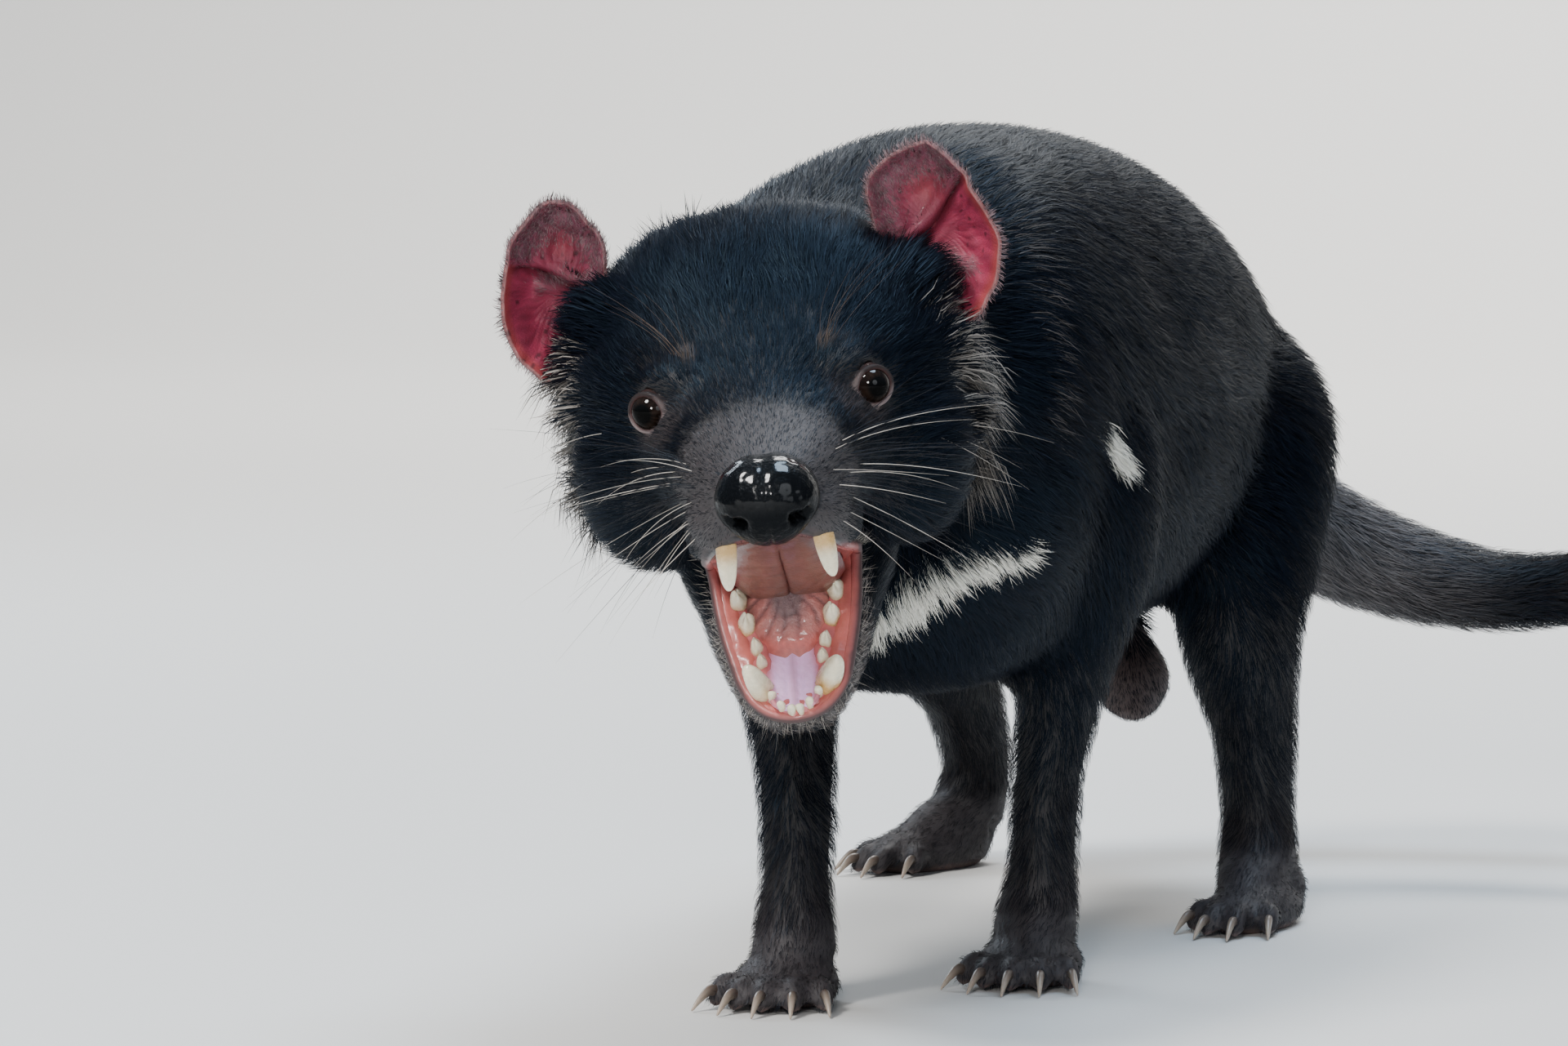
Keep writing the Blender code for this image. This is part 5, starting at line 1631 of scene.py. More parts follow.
def build_ear(side, name, settings):
    outline = np.array(EAR_OUTLINES[name])
    curve = smooth_loop(outline, 12)
    closed = np.concatenate([curve, curve[:1]])
    ways = np.append(0, np.cumsum(size_of(np.diff(closed, axis=0))))
    even = np.linspace(0, ways[-1], EAR_AROUND, endpoint=False)
    rim = np.stack([np.interp(even, ways, column) for column in closed.T], 1)
    centre = np.array(EAR_CENTRES[name])
    share = np.repeat(((np.arange(EAR_STEPS) + 1) / EAR_STEPS) ** 0.85, EAR_AROUND)
    place = np.tile(rim, (EAR_STEPS, 1))
    level = np.insert(place, 2, 0.0, axis=1)
    jag = 1 + 0.005 * waves(level, 0.9, 3) * ease(0.9, 1.0, share)
    plane = np.concatenate([centre + (place - centre) * (share * jag)[:, None], [centre]])
    share = np.append(share, 0.0)
    spots = flat_line(plane)
    form = ear_features(name, spots)
    out = (plane[:, 0] - centre[0]) / 2.0
    turn = np.arctan2(plane[:, 1] - centre[1], plane[:, 0] - centre[0])
    fine = np.sin(turn * 31 + 3.5 * np.sin(turn * 4 + 7 * share))
    fine *= ease(0.22, 0.5, share)
    fine *= ease(1.02, 0.9, share)
    broad = waves(spots, 0.8, 14) * ease(0.2, 0.6, share)
    depth = EAR_CUP * (1 - share ** 2.2) - 0.0035 * share ** 2 * np.clip(out, -1, 1)
    depth += 0.003 * form["crease"] * ease(1.0, 0.8, share) - 0.0012 * form["bank"] * ease(1.0, 0.8, share)
    depth += 0.0022 * form["hollow"] + 0.0045 * form["notch"]
    depth -= 0.0024 * form["ridge"] + 0.0026 * form["lobe"]
    depth += 0.00016 * fine + 0.00045 * broad
    depth -= 0.0016 * (ease(0.3, 1.2, plane[:, 1] - centre[1]) * ease(0.82, 1.0, share))
    points = np.stack([plane[:, 0] * 0.01 * side, EAR_FACE + depth, plane[:, 1] * 0.01], 1)
    faces = skinned(points[:-1].reshape(EAR_STEPS, EAR_AROUND, 3), caps=False)[1]
    faces += [(len(points) - 1, (index + 1) % EAR_AROUND, index) for index in range(EAR_AROUND)]
    thing = object_from("ear_" + name, placed(HEAD, points), faces)
    streak = 0.5 + 0.5 * np.sin(turn * 43 + 4 * np.sin(turn * 5 + 8 * share))
    over = plane[:, 1] - np.interp(plane[:, 0], *np.array(sorted(EAR_CREASE[name])).T)
    above = ease(-0.05, 0.35, over)
    edge = ease(0.975, 1.0, share)
    specks = ease(1.25, 1.45, waves(spots, 0.34, 31 if side > 0 else 34)) * ease(0.25, 0.5, share)
    colour = layered(
        even_tone(settings.ear, len(share)) * (0.82 + 0.26 * streak + 0.2 * broad)[:, None],
        ((0.21, 0.078, 0.118), above * (0.25 + 0.6 * ease(0.45, 0.85, share)) * (0.6 + 0.4 * streak)),
        ((0.36, 0.066, 0.084) if side > 0 else (0.27, 0.036, 0.055), form["hollow"] * 0.75),
        ((0.23, 0.095, 0.125), np.clip(form["ridge"] + form["lobe"], 0, 1) * 0.6),
        # Dark in the crease and the notch: painted shade.
        ((0.055, 0.004, 0.008), np.clip(form["crease"] * 0.65 + form["notch"] * 0.9, 0, 1)),
        ((0.33, 0.052, 0.05), ease(0.86, 0.97, share) * (1 - above * 0.8) * 0.75),
        ((0.23, 0.125, 0.12), edge * 0.7),
        ((0.02, 0.006, 0.008), specks * 0.7),
    )
    put_colour(thing, colour)
    put_value(thing, "rim", share)
    hairy = above * ease(0.35, 0.75, share) + edge * 0.7 + form["ridge"] * 0.6
    put_value(thing, "hairy", np.clip(hairy, 0, 1))
    thicken(thing, EAR_THICK)
    back = ease(0.05, 0.45, vertex_normals(thing) @ (HEAD_TURN @ Vector((0, 1, 0))))
    layer = thing.data.attributes["markings"]
    colours = table_of(layer.data, "color", 4)
    colours[:, :3] = mix(colours[:, :3], (0.03, 0.02, 0.021), back)
    layer.data.foreach_set("color", colours.ravel())
    unwrap(thing)
    finish = wet_finish("ear_" + name, 0.52, 1500.0, 0.55, coat=0.06, glow=0.2)
    dress(thing, finish, "ear_skin", "ear_" + name)
    Ears.made.append((side, name, thing, back))


class Ears:
    """The ears and how far each vertex faces back, kept for their hair."""

    made = []


def build_ear_hair(settings):
    """Fine hair on the upper inside of each ear, along its rim and on its back."""
    for side, name, thing, back in Ears.made:
        draw = np.random.default_rng(settings.seed + 50 + int(side))
        places = vertex_places(thing)
        normals = vertex_normals(thing)
        corners, maps = triangles_of(thing)
        hairy, rim = (table_of(thing.data.attributes[key].data, "value", 1)[:, 0] for key in ("hairy", "rim"))
        across, up = EAR_CENTRES[name]
        outward = (in_head(places) - np.array((across * 0.01 * side, EAR_FACE, up * 0.01))) * (1, 0.1, 1)
        ways = along_surface(unit(outward + (0, 0, 0.004)) @ np.array(HEAD_TURN).T, normals)
        weight = hairy * (1 - back) + 0.9 * back * ease(0.94, 0.84, rim)
        count = int(EAR_HAIRS * settings.share)
        picked, shares, where = scatter(draw, corners, maps, places, weight, count)
        roots, way, out, behind = (blended(values, picked, shares)
                                   for values in (places, ways, normals, back))
        front = np.array((0.25, 0.17, 0.18)) * (0.35 + 1.1 * draw.random(count)[:, None])
        colour = mix(front, (0.018, 0.014, 0.016), behind)
        piece = blades("coat_ear_" + name, draw, roots, unit(way), unit(out), 0.0023 + 0.0018 * behind,
                       0.0005 + 0.0008 * behind, 0.00016 + 0.00014 * behind, colour, where, 0.25, 0.2)
        dress(piece, hair_finish("ear_hair"), "coat")


class DEVIL_OT_ears(bpy.types.Operator):
    """Make the thin red ears and their hair"""

    bl_idname = "devil.ears"
    bl_label = "Ears"

    def execute(self, context):
        Ears.made.clear()
        for side, name in SIDES:
            build_ear(side, name, context.scene.devil_face)
        build_ear_hair(context.scene.devil_coat)
        return {"FINISHED"}


# Mouth

UPPER_CANINE = (0.015, -0.0405, -0.0375)
LOWER_CANINE = (0.0104, -0.0938, 0.0)
# The upper teeth and the palate stand a little to the animal's left.
UPPER_SHIFT = Matrix.Translation((0.0013, 0.0, 0.0))


def upper_row():
    """Upper teeth of one side, from the middle back: place, way, length, half width, kind."""
    rows = []
    for index in range(4):
        x = 0.0012 + 0.0024 * index
        y = -0.0465 + 0.0045 * (x / 0.0125) ** 2
        rows.append(((x, y, -0.0312), (0.0, 0.1, -1.0), 0.0028, 0.00125, "incisor"))
    rows.append((UPPER_CANINE, (0.1, -0.05, -1.0), 0.0122, 0.0032, "canine"))
    for index in range(5):
        share = index / 4
        place = (0.015 + 0.0045 * share, -0.032 + 0.036 * share, -0.0375 - 0.0055 * share)
        kind = "premolar" if index < 2 else "molar"
        rows.append((place, (0.0, 0.0, -1.0), 0.0042, 0.0021 + 0.0006 * share, kind))
    return rows


def lower_row():
    """Lower teeth of one side, from the middle back."""
    rows = []
    for index in range(3):
        x = 0.0014 + 0.0029 * index
        y = -0.103 + 0.0055 * (x / 0.0072) ** 2
        rows.append(((x, y, -0.0012), (0.0, -0.15, 1.0), 0.0046, 0.00165, "incisor"))
    rows.append((LOWER_CANINE, (0.38, 0.06, 0.92), 0.0108, 0.0037, "canine"))
    for x, y, length, half in ((0.0094, -0.085, 0.0046, 0.002), (0.0106, -0.0792, 0.0052, 0.0022),
                               (0.013, -0.0706, 0.0064, 0.003), (0.015, -0.0612, 0.0058, 0.0031)):
        kind = "premolar" if half < 0.0025 else "molar"
        rows.append(((x, y, -0.0004), (0.04, 0.0, 1.0), length, half, kind))
    return rows


# For each kind of tooth: share of the length from the gum, share of the thickness there.
TOOTH_PROFILES = {
    "canine": ((-0.45, 0.95), (-0.1, 1.05), (0.1, 1.05), (0.3, 1.0), (0.5, 0.91), (0.7, 0.77), (0.85, 0.59),
               (0.95, 0.38), (1.0, 0.18)),
    "incisor": ((-0.6, 0.75), (-0.1, 0.9), (0.3, 1.04), (0.6, 1.05), (0.85, 0.92), (0.97, 0.62), (1.0, 0.3)),
    "premolar": ((-0.7, 1.0), (-0.1, 1.2), (0.2, 1.25), (0.5, 1.02), (0.75, 0.68), (0.92, 0.36), (1.0, 0.15)),
    "molar": ((-0.7, 1.0), (-0.1, 1.2), (0.2, 1.25), (0.5, 1.04), (0.75, 0.72), (0.92, 0.42), (1.0, 0.17)),
}
TOOTH_FLATNESS = {"canine": 0.94, "incisor": 0.76, "premolar": 0.7, "molar": 0.72}
TOOTH_SIDES = 24


def tooth_points(kind, length, half, phase):
    """A tooth that stands on Z, with its front along -Y, and its share of the height at each point."""
    angle = round_angles(TOOTH_SIDES)
    c, s = np.cos(angle), np.sin(angle)
    rings = []
    shades = []
    for share, size in smooth_rows(TOOTH_PROFILES[kind], 3):
        top = np.full(TOOTH_SIDES, max(share, 0.0))
        wobble = 1 + 0.06 * np.sin(angle * 3 + phase) + 0.04 * np.sin(angle * 5 + 2 * phase)
        x = c * half * size * TOOTH_FLATNESS[kind] * wobble
        y = s * half * size * wobble
        z = np.full(TOOTH_SIDES, share * length)
        if kind == "canine":
            y = y + 0.0016 * top ** 2
        if kind in ("molar", "premolar"):
            z = z + 0.14 * length * ease(0.3, 0.8, top) * np.cos(angle * 3 + phase)
        if kind == "incisor":
            y = y * (1 - 0.5 * top)
        rings.append(np.stack([x, y, z], 1))
        shades.append(np.full(TOOTH_SIDES, share))
    points, faces = skinned(rings)
    return points, faces, np.concatenate(shades + [[shades[0][0], shades[-1][0]]])


def tooth_finish(name):
    finish = Finish(name)
    grain = finish.noise(620.0, 4.0, 0.6)
    tone = finish.grained(0.35, grain, (0.55, 0.46, 0.34), (1.2, 1.2, 1.2))
    return finish.surface(base_color=tone, roughness=0.16 + 0.22 * grain, coat_weight=0.25,
                          coat_roughness=0.06, subsurface_weight=0.15, subsurface_scale=1.0,
                          subsurface_radius=(0.002, 0.0012, 0.0008), normal=finish.bump(grain, 0.22, 0.0004))


def build_teeth(name, frame_matrix, rows, settings):
    draw = np.random.default_rng(5 if name.startswith("upper") else 8)
    shapes = []
    shades = []
    bases = []
    for side, _ in SIDES:
        for place, way, length, half, kind in rows:
            length = length * draw.uniform(0.9, 1.06)
            points, faces, shade = tooth_points(kind, length, half, draw.uniform(0, 6))
            up = Vector(mirrored(way, side) + draw.normal(0, 0.045, 3)).normalized()
            back = Vector((0, 1, 0))
            across = back.cross(up).normalized()
            turn = Matrix((across, up.cross(across), up)).transposed().to_4x4()
            matrix = frame_matrix @ Matrix.Translation(mirrored(place, side)) @ turn
            shapes.append((placed(matrix, points), faces))
            shades.append(shade)
            bases.append(np.full(len(shade), draw.uniform(0.3, 1.0) if kind != "incisor" else 0.25))
    thing = facing_out(object_from(name, *joined(shapes)))
    shade = np.concatenate(shades)
    enamel = np.array(settings.tooth)
    colour = layered(even_tone(enamel, len(shade)),
                     ((0.61, 0.37, 0.12), ease(0.55, 0.05, shade) * np.concatenate(bases)),
                     (enamel * 1.08, ease(0.6, 1.0, shade)))
    finish_piece(thing, colour, tooth_finish(name), "teeth")


def build_gum(name, matrix, line, radius, tone):
    """A rounded ridge of gum in which a row of teeth stands."""
    fine = smooth_rows(np.concatenate([mirrored(line[::-1], RIGHT), line]), 10)
    swell = radius * (1 + 0.13 * np.sin(np.arange(len(fine)) * 0.628 * 1.0))
    points, faces = tube(fine, swell, 24, swell * 1.15, matrix, (0, 0, 1.0))
    points = points + unit(points - points.mean(0)) * (0.00025 * waves(points, 0.004, 6))[:, None]
    thing = facing_out(object_from(name, points, faces))
    colour = even_tone(tone, len(points)) * (1 + 0.14 * waves(points, 0.006, 3))[:, None]
    finish_piece(thing, colour, wet_finish(name, 0.26, 620.0, 0.35, coat=0.5), "mouth")


SHEET_THICK = 0.0014


def sheet(name, rows, columns, shape, colour_of, matrix, coat=0.45):
    """A soft closed sheet: shape and colour come from how far along and across each point is."""
    along = np.repeat(np.linspace(0, 1, rows), columns)
    across = np.tile(np.linspace(-1, 1, columns), rows)
    points = shape(along, across)
    faces = []
    for row in range(rows - 1):
        for column in range(columns - 1):
            a = row * columns + column
            faces.append((a, a + 1, a + columns + 1, a + columns))
    thing = object_from(name, placed(matrix, points), faces)
    put_colour(thing, colour_of(along, across, points))
    thicken(thing, SHEET_THICK)
    unwrap(thing)
    dress(thing, wet_finish(name, 0.3, 800.0, 0.45, coat), "mouth")


def build_palate():
    """The roof of the mouth as it shows: two soft halves that end above the tongue."""
    line = smooth_rows(((-0.044, -0.0335, 0.0118), (-0.033, -0.04, 0.0138), (-0.018, -0.049, 0.016),
                        (-0.004, -0.0572, 0.0172), (0.004, -0.0618, 0.0172), (0.0085, -0.0622, 0.0168),
                        (0.011, -0.059, 0.016)), 10)

    def shape(along, across):
        y, z, half = read_rows(line, along)
        x = across * half
        lobes = 1 - (2 * np.abs(across) - 0.95) ** 2
        z = z + 0.006 * np.abs(across) ** 3.5 - 0.0016 * np.clip(lobes, 0, 1) * ease(0.2, 0.8, along)
        z = z + 0.0012 * bell(x, 0.0007) * ease(0.05, 0.3, along)
        ribs = np.sin(along * 60 + np.abs(across) * 3) * ease(0.55, 0.35, along)
        return np.stack([x, y, z + 0.0001 * ribs + 0.0002 * waves(np.stack([x, y, z], 1), 0.006, 8)], 1)

    def colour_of(along, across, points):
        # Darker at the top under the nose and lighter and redder on the lower lobes: painted shade and
        # painted light. The dark line along the middle groove and the dark lower edge, where the palate meets
        # the tongue, are painted shade.
        colour = layered(
            even_tone((0.17, 0.07, 0.054), len(along)),
            ((0.075, 0.03, 0.024), ease(0.4, 0.05, along) * 0.8),
            ((0.24, 0.075, 0.06), ease(0.5, 0.88, along) * 0.6),
            ((0.08, 0.01, 0.009), bell(points[:, 0], 0.0009) * 0.8),
            ((0.13, 0.022, 0.022), ease(0.62, 1.0, np.abs(across)) * 0.8),
            ((0.1, 0.01, 0.01), ease(0.82, 0.92, along)),
        )
        return colour * (1 + 0.1 * waves(points, 0.007, 12))[:, None]

    sheet("palate", 90, 61, shape, colour_of, HEAD @ UPPER_SHIFT, 0.12)


def build_floor_of_mouth():
    """The lilac floor between the lower teeth."""
    line = smooth_rows(((0.07, -0.006, 0.0125), (0.08, -0.0048, 0.0108), (0.088, -0.004, 0.0092),
                        (0.095, -0.0034, 0.0082), (0.1, -0.0026, 0.007), (0.1022, -0.0018, 0.0058)), 10)

    def shape(along, across):
        away, height, half = read_rows(line, along)
        x = across * half
        height = height + 0.0014 + 0.0022 * across ** 4 + 0.0006 * bell(x, 0.0007)
        height = height - 0.0005 * bell(np.abs(x) - 0.0022, 0.0011)
        return np.stack([x, -away, height + 0.00012 * waves(np.stack([x, away, height], 1), 0.003, 9)], 1)

    def colour_of(along, across, points):
        sideways = ease(0.62, 1.0, np.abs(across)) + ease(0.5, 0.15, along) * ease(0.35, 0.75, np.abs(across))
        # The lilac is made as bright as a colour can be: partly the floor's own colour, partly painted light
        # standing in for light inside the mouth. Darker at the back, under the tongue's front edge: painted
        # shade.
        return layered(even_tone((1.0, 0.62, 1.0), len(along)),
                       ((0.56, 0.15, 0.15), np.clip(sideways, 0, 1) * 0.85),
                       ((0.42, 0.17, 0.24), bell(points[:, 0], 0.0006) * 0.45),
                       ((0.3, 0.08, 0.1), ease(0.25, 0.0, along) * 0.6))

    sheet("mouth_floor", 60, 41, shape, colour_of, JAW)


# The inner edge of the cheek's lining for each point of the lips, in the head's frame and in the jaw's.
LINING_UPPER = mm(((15, -33.5, -39.5), (17.2, -21.5, -44), (18.5, -6, -49), (17.8, 11, -54.5)))
LINING_LOWER = mm((
    (15, -53, -1.2), (13, -68, -2.2), (10.2, -81, -2.6), (9.5, -92, -3.6),
    (6.8, -98.5, -3.6), (0, -101.2, -3.6),
))


def build_lining():
    """The soft lining between the lips and the teeth, once round below the nose."""
    flat = HEAD.inverted() @ JAW
    upper = np.hstack([LIP_UPPER[2:], LINING_UPPER])
    left = np.concatenate([upper, np.hstack([placed(flat, LIP_LOWER), placed(flat, LINING_LOWER)])])
    fine = smooth_rows(np.concatenate([left, left[-2::-1] * (RIGHT, 1, 1, RIGHT, 1, 1)]), 12)

    def shape(along, across):
        row = np.stack(read_rows(fine, along), 1)
        points = mix(row[:, :3], row[:, 3:], across * 0.5 + 0.5)
        swell = np.cos(across * HALF_TURN * 0.5) * (0.0011 + 0.0004 * waves(points, 0.006, 27))
        return points + swell[:, None] * (0.0, -0.8, 0.5)

    def colour_of(along, across, points):
        back = 1 - np.abs(2 * along - 1)
        # Much darker at both upper ends, under the upper lip and the nose: painted shade.
        colour = layered(even_tone((0.56, 0.15, 0.13), len(along)),
                         ((0.4, 0.07, 0.06), ease(-0.2, 1.0, across) * 0.7),
                         ((0.16, 0.022, 0.022), ease(0.46, 0.12, back) * 0.85))
        return colour * (1 + 0.14 * waves(points, 0.008, 33))[:, None]

    sheet("cheek_lining", 200, 15, shape, colour_of, HEAD)


def build_tongue():
    """A broad tongue with a rounded front edge and folds that fan out from its middle."""
    rows = ((0.046, -0.003, 0.0125, 0.004, 0.006), (0.054, -0.002, 0.0132, 0.0052, 0.007),
            (0.062, -0.0015, 0.0132, 0.0062, 0.007), (0.07, -0.002, 0.0124, 0.0058, 0.006),
            (0.076, -0.0032, 0.0108, 0.0046, 0.0045), (0.08, -0.0042, 0.0082, 0.0032, 0.0032),
            (0.0822, -0.0048, 0.0052, 0.002, 0.002), (0.083, -0.005, 0.0022, 0.0008, 0.0008))
    rings = []
    for back, height, half_width, rise, drop in smooth_rows(rows, 12):
        rings.append(oval((0, -back, height), (1, 0, 0), (0, 0, 1), half_width, rise, drop, 120, 2.35))
    points, faces = skinned(rings)
    upward = ease(-0.003, 0.002, points[:, 2])
    from_fan = points[:, :2] - (0.0, -0.059)
    away = size_of(from_fan)
    turn = np.arctan2(from_fan[:, 0], -from_fan[:, 1])
    ray = np.sin(turn * 19 + 0.8 * np.sin(away * 420) + 0.9 * np.sin(turn * 5 + 1))
    reach = ease(0.002, 0.008, away) * ease(0.0225, 0.015, away)
    centre = ease(0.0125, 0.002, np.hypot(from_fan[:, 0] * 1.5, from_fan[:, 1] + 0.006))
    bulge = bell(away - 0.0205, 0.0026)
    rough = waves(points, 0.0022, 17)
    points[:, 2] += upward * (-0.0003 * np.clip(-ray, 0, 1) * reach - 0.001 * centre
                              + 0.0006 * bulge + 0.00008 * rough)
    thing = facing_out(object_from("tongue", placed(JAW, points), faces))
    colour = layered(
        even_tone((0.43, 0.16, 0.142), len(points)),
        ((0.18, 0.128, 0.133), np.clip(centre * 1.4, 0, 1) * 0.92),
        # Dark in the valleys between the folds: painted shade in the creases.
        ((0.085, 0.036, 0.042), np.clip(-ray, 0, 1) ** 2 * reach * 0.65),
        ((0.54, 0.105, 0.088), bulge * 0.75),
    )
    colour = colour * (1 + 0.1 * rough)[:, None]
    finish_piece(thing, colour, wet_finish("tongue", 0.36, 1500.0, 0.6, 0.2), "mouth", "tongue")


class DEVIL_OT_mouth(bpy.types.Operator):
    """Make the palate, the tongue, the gums and the teeth"""

    bl_idname = "devil.mouth"
    bl_label = "Mouth"

    def execute(self, context):
        settings = context.scene.devil_face
        build_palate()
        build_floor_of_mouth()
        build_lining()
        build_tongue()
        upper = upper_row()
        lower = lower_row()
        upper_line = np.array([place for place, *_ in upper]) + (0, 0.0016, 0.0026)
        lower_line = np.array([place for place, *_ in lower]) + (0, 0.0016, -0.0016)
        build_gum("upper_gum", HEAD @ UPPER_SHIFT, upper_line, 0.0022, (0.3, 0.075, 0.066))
        build_gum("lower_gum", JAW, lower_line, 0.0023, (0.6, 0.17, 0.168))
        build_teeth("upper_teeth", HEAD @ UPPER_SHIFT, upper, settings)
        build_teeth("lower_teeth", JAW, lower, settings)
        return {"FINISHED"}


# Claws

def build_claws():
    shapes = []
    shades = []
    for name in FEET:
        matrix, sizes, toes = foot_layout(name)
        for _, claw in toes:
            fine = smooth_rows(claw, 6)
            share = np.linspace(0, 1, len(fine))
            thick = sizes["toe_thick"] * 0.44 * (1 - share ** 1.8 * 0.84)
            shapes.append(tube(fine, thick * 0.8, 14, thick, matrix))
            shades.append(np.append(np.repeat(share, 14), (0.0, 1.0)))
    thing = facing_out(object_from("claws", *joined(shapes)))
    places = vertex_places(thing)
    places[:, 2] = np.maximum(places[:, 2], 0.0002)
    put_places(thing, places)
    shade = np.concatenate(shades)
    colour = mix(even_tone((0.07, 0.05, 0.042), len(shade)), (0.43, 0.36, 0.29), ease(0.15, 0.95, shade))
    finish_piece(thing, colour, wet_finish("claws", 0.34, 900.0, 0.25, coat=0.2, glow=0.08), "claws")


class DEVIL_OT_claws(bpy.types.Operator):
    """Make the long curved claws"""

    bl_idname = "devil.claws"
    bl_label = "Claws"

    def execute(self, context):
        build_claws()
        return {"FINISHED"}


# Whiskers, bristles and brow hairs

DARK_HAIR = np.array((0.012, 0.01, 0.011))
PALE_HAIR = np.array((0.55, 0.5, 0.44))
BROWN_HAIR = np.array((0.09, 0.06, 0.042))
# The way from the head to the camera, in the head's frame.
CAMERA_WAY = (0.058, -0.981, 0.185)


def hair_tree(material):
    """Turns lines of points, each with its own thickness, into fine tapered rods."""
    tree = bpy.data.node_groups.new("whiskers", "GeometryNodeTree")
    for name, way, kind in (("Lines", "INPUT", "Geometry"), ("Thickness", "INPUT", "Float"),
                            ("Sides", "INPUT", "Int"), ("Rods", "OUTPUT", "Geometry")):
        tree.interface.new_socket(name, in_out=way, socket_type="NodeSocket" + kind)
    start, curve, size, times, shape, ring, real, paint, end = (tree.nodes.new(kind) for kind in (
        "NodeGroupInput", "GeometryNodeMeshToCurve", "GeometryNodeInputNamedAttribute", "ShaderNodeMath",
        "GeometryNodeCurveToMesh", "GeometryNodeCurvePrimitiveCircle", "GeometryNodeRealizeInstances",
        "GeometryNodeSetMaterial", "NodeGroupOutput"))
    size.data_type = "FLOAT"
    size.inputs["Name"].default_value = "taper"
    times.operation = "MULTIPLY"
    ring.inputs["Radius"].default_value = 1.0
    shape.inputs["Fill Caps"].default_value = True
    paint.inputs["Material"].default_value = material
    for source, output, target, socket in (
        (start, "Lines", curve, 0), (size, "Attribute", times, 0), (start, "Thickness", times, 1),
        (start, "Sides", ring, "Resolution"), (curve, 0, shape, "Curve"), (ring, 0, shape, "Profile Curve"),
        (times, 0, shape, "Scale"), (shape, 0, real, 0), (real, 0, paint, 0), (paint, 0, end, 0),
    ):
        tree.links.new(source.outputs[output], target.inputs[socket])
    return tree


def hair_piece(name, hairs, thickness, material, sides=5):
    """Fine rods along lines of points, each with its colour, as one piece."""
    mesh = bpy.data.meshes.new(name)
    edges = []
    first = 0
    taper = []
    for line, _ in hairs:
        edges += [(first + index, first + index + 1) for index in range(len(line) - 1)]
        taper.append(1 - np.linspace(0, 1, len(line)) ** 1.5 * 0.88)
        first += len(line)
    mesh.from_pydata(np.concatenate([line for line, _ in hairs]).tolist(), edges, [])
    thing = bpy.data.objects.new(name, mesh)
    bpy.context.scene.collection.objects.link(thing)
    put_value(thing, "taper", np.concatenate(taper))
    put_colour(thing, np.concatenate([even_tone(colour, len(line)) for line, colour in hairs]))
    rods = thing.modifiers.new("rods", "NODES")
    rods.node_group = hair_tree(material)
    for item in rods.node_group.interface.items_tree:
        if item.name in ("Thickness", "Sides"):
            rods[item.identifier] = thickness if item.name == "Thickness" else sides
    bake(thing)
    for face in thing.data.polygons:
        face.use_smooth = True
    unwrap(facing_out(thing), 80.0)
    dress(thing, None, "coat")


def arc(start, way, droop, length, steps=14):
    """A line of points that leaves along a way and bends towards a droop."""
    t = np.linspace(0, 1, steps)[:, None]
    return np.asarray(start) + length * (unit(way) * t + np.asarray(droop) * t * t)


def side_hairs(draw, side, long, fine):
    """The whiskers of the muzzle and cheek and the brow hairs of one side."""
    for index in range(50):
        row = index % 5
        share = (index // 5) / 9
        start = (0.0205 + 0.006 * share, -0.039 + 0.023 * share, -0.032 + 0.0046 * row + 0.003 * share)
        way = mirrored((1.0, -0.05 + 0.8 * share, -0.8 + 0.3 * row), side) + draw.normal(0, 0.12, 3)
        length = (0.026 + 0.036 * share) * draw.uniform(0.55, 1.15)
        droop = (0.1 * side, 0.34, -0.28) + draw.normal(0, 0.09, 3)
        colour = PALE_HAIR * draw.uniform(0.5, 1.1) if draw.random() < 0.22 else DARK_HAIR
        long.append((placed(HEAD, arc(mirrored(start, side), way, droop, length)), colour))
    for index in range(8):
        start = mirrored(np.array(BROW[0]) + (np.array(BROW[1]) - BROW[0]) * index / 7, side)
        way = mirrored((0.45, 0.1, 1.0), side) + draw.normal(0, 0.28, 3)
        bend = (0.45 * side, 0.4, -0.1) + draw.normal(0, 0.12, 3)
        line = arc(start - np.array((0, -0.001, 0.001)), way, bend, draw.uniform(0.014, 0.036))
        fine.append((placed(HEAD, line), BROWN_HAIR * draw.uniform(0.5, 1.6)))
    for index in range(9):
        start = mirrored((0.051, 0.014 + 0.003 * index, -0.02 + 0.004 * draw.normal()), side)
        way = mirrored((1.0, 0.3, -0.3), side) + draw.normal(0, 0.25, 3)
        line = arc(start, way, (0.1 * side, 0.35, -0.3), draw.uniform(0.018, 0.038))
        long.append((placed(HEAD, line), PALE_HAIR * 0.6 if index % 3 == 0 else DARK_HAIR))


def chin_hairs(draw, fine):
    """The bristles of the chin and the short pale hairs round the lower lip."""
    for _ in range(100):
        across = draw.uniform(-1, 1)
        start = (across * 0.0165, -0.1 + 0.02 * across ** 2, -0.007 - 0.005 * draw.random())
        way = (across * 0.9, -0.8, -0.25) + draw.normal(0, 0.3, 3)
        line = placed(JAW, arc(start, way, (0, 0.1, -0.2), draw.uniform(0.004, 0.013), 8))
        fine.append((line, PALE_HAIR * draw.uniform(0.4, 0.9) if draw.random() < 0.5 else DARK_HAIR))
    rim = lip_line(12)
    front = unit(np.array(HEAD_TURN) @ np.array(CAMERA_WAY))
    low = in_head(rim)[:, 2] < -0.044
    for index in draw.choice(np.nonzero(low)[0], 420):
        outward = rim[index] - rim.mean(0)
        outward = unit(outward - front * outward.dot(front))
        start = rim[index] + outward * draw.uniform(0.0008, 0.0032) - front * draw.uniform(0, 0.001)
        way = outward + front * draw.uniform(0.0, 0.8) + draw.normal(0, 0.25, 3)
        line = arc(start, way, -front * 0.5, draw.uniform(0.002, 0.005), 5)
        fine.append((line, PALE_HAIR * draw.uniform(0.4, 0.9) if draw.random() < 0.6 else DARK_HAIR))


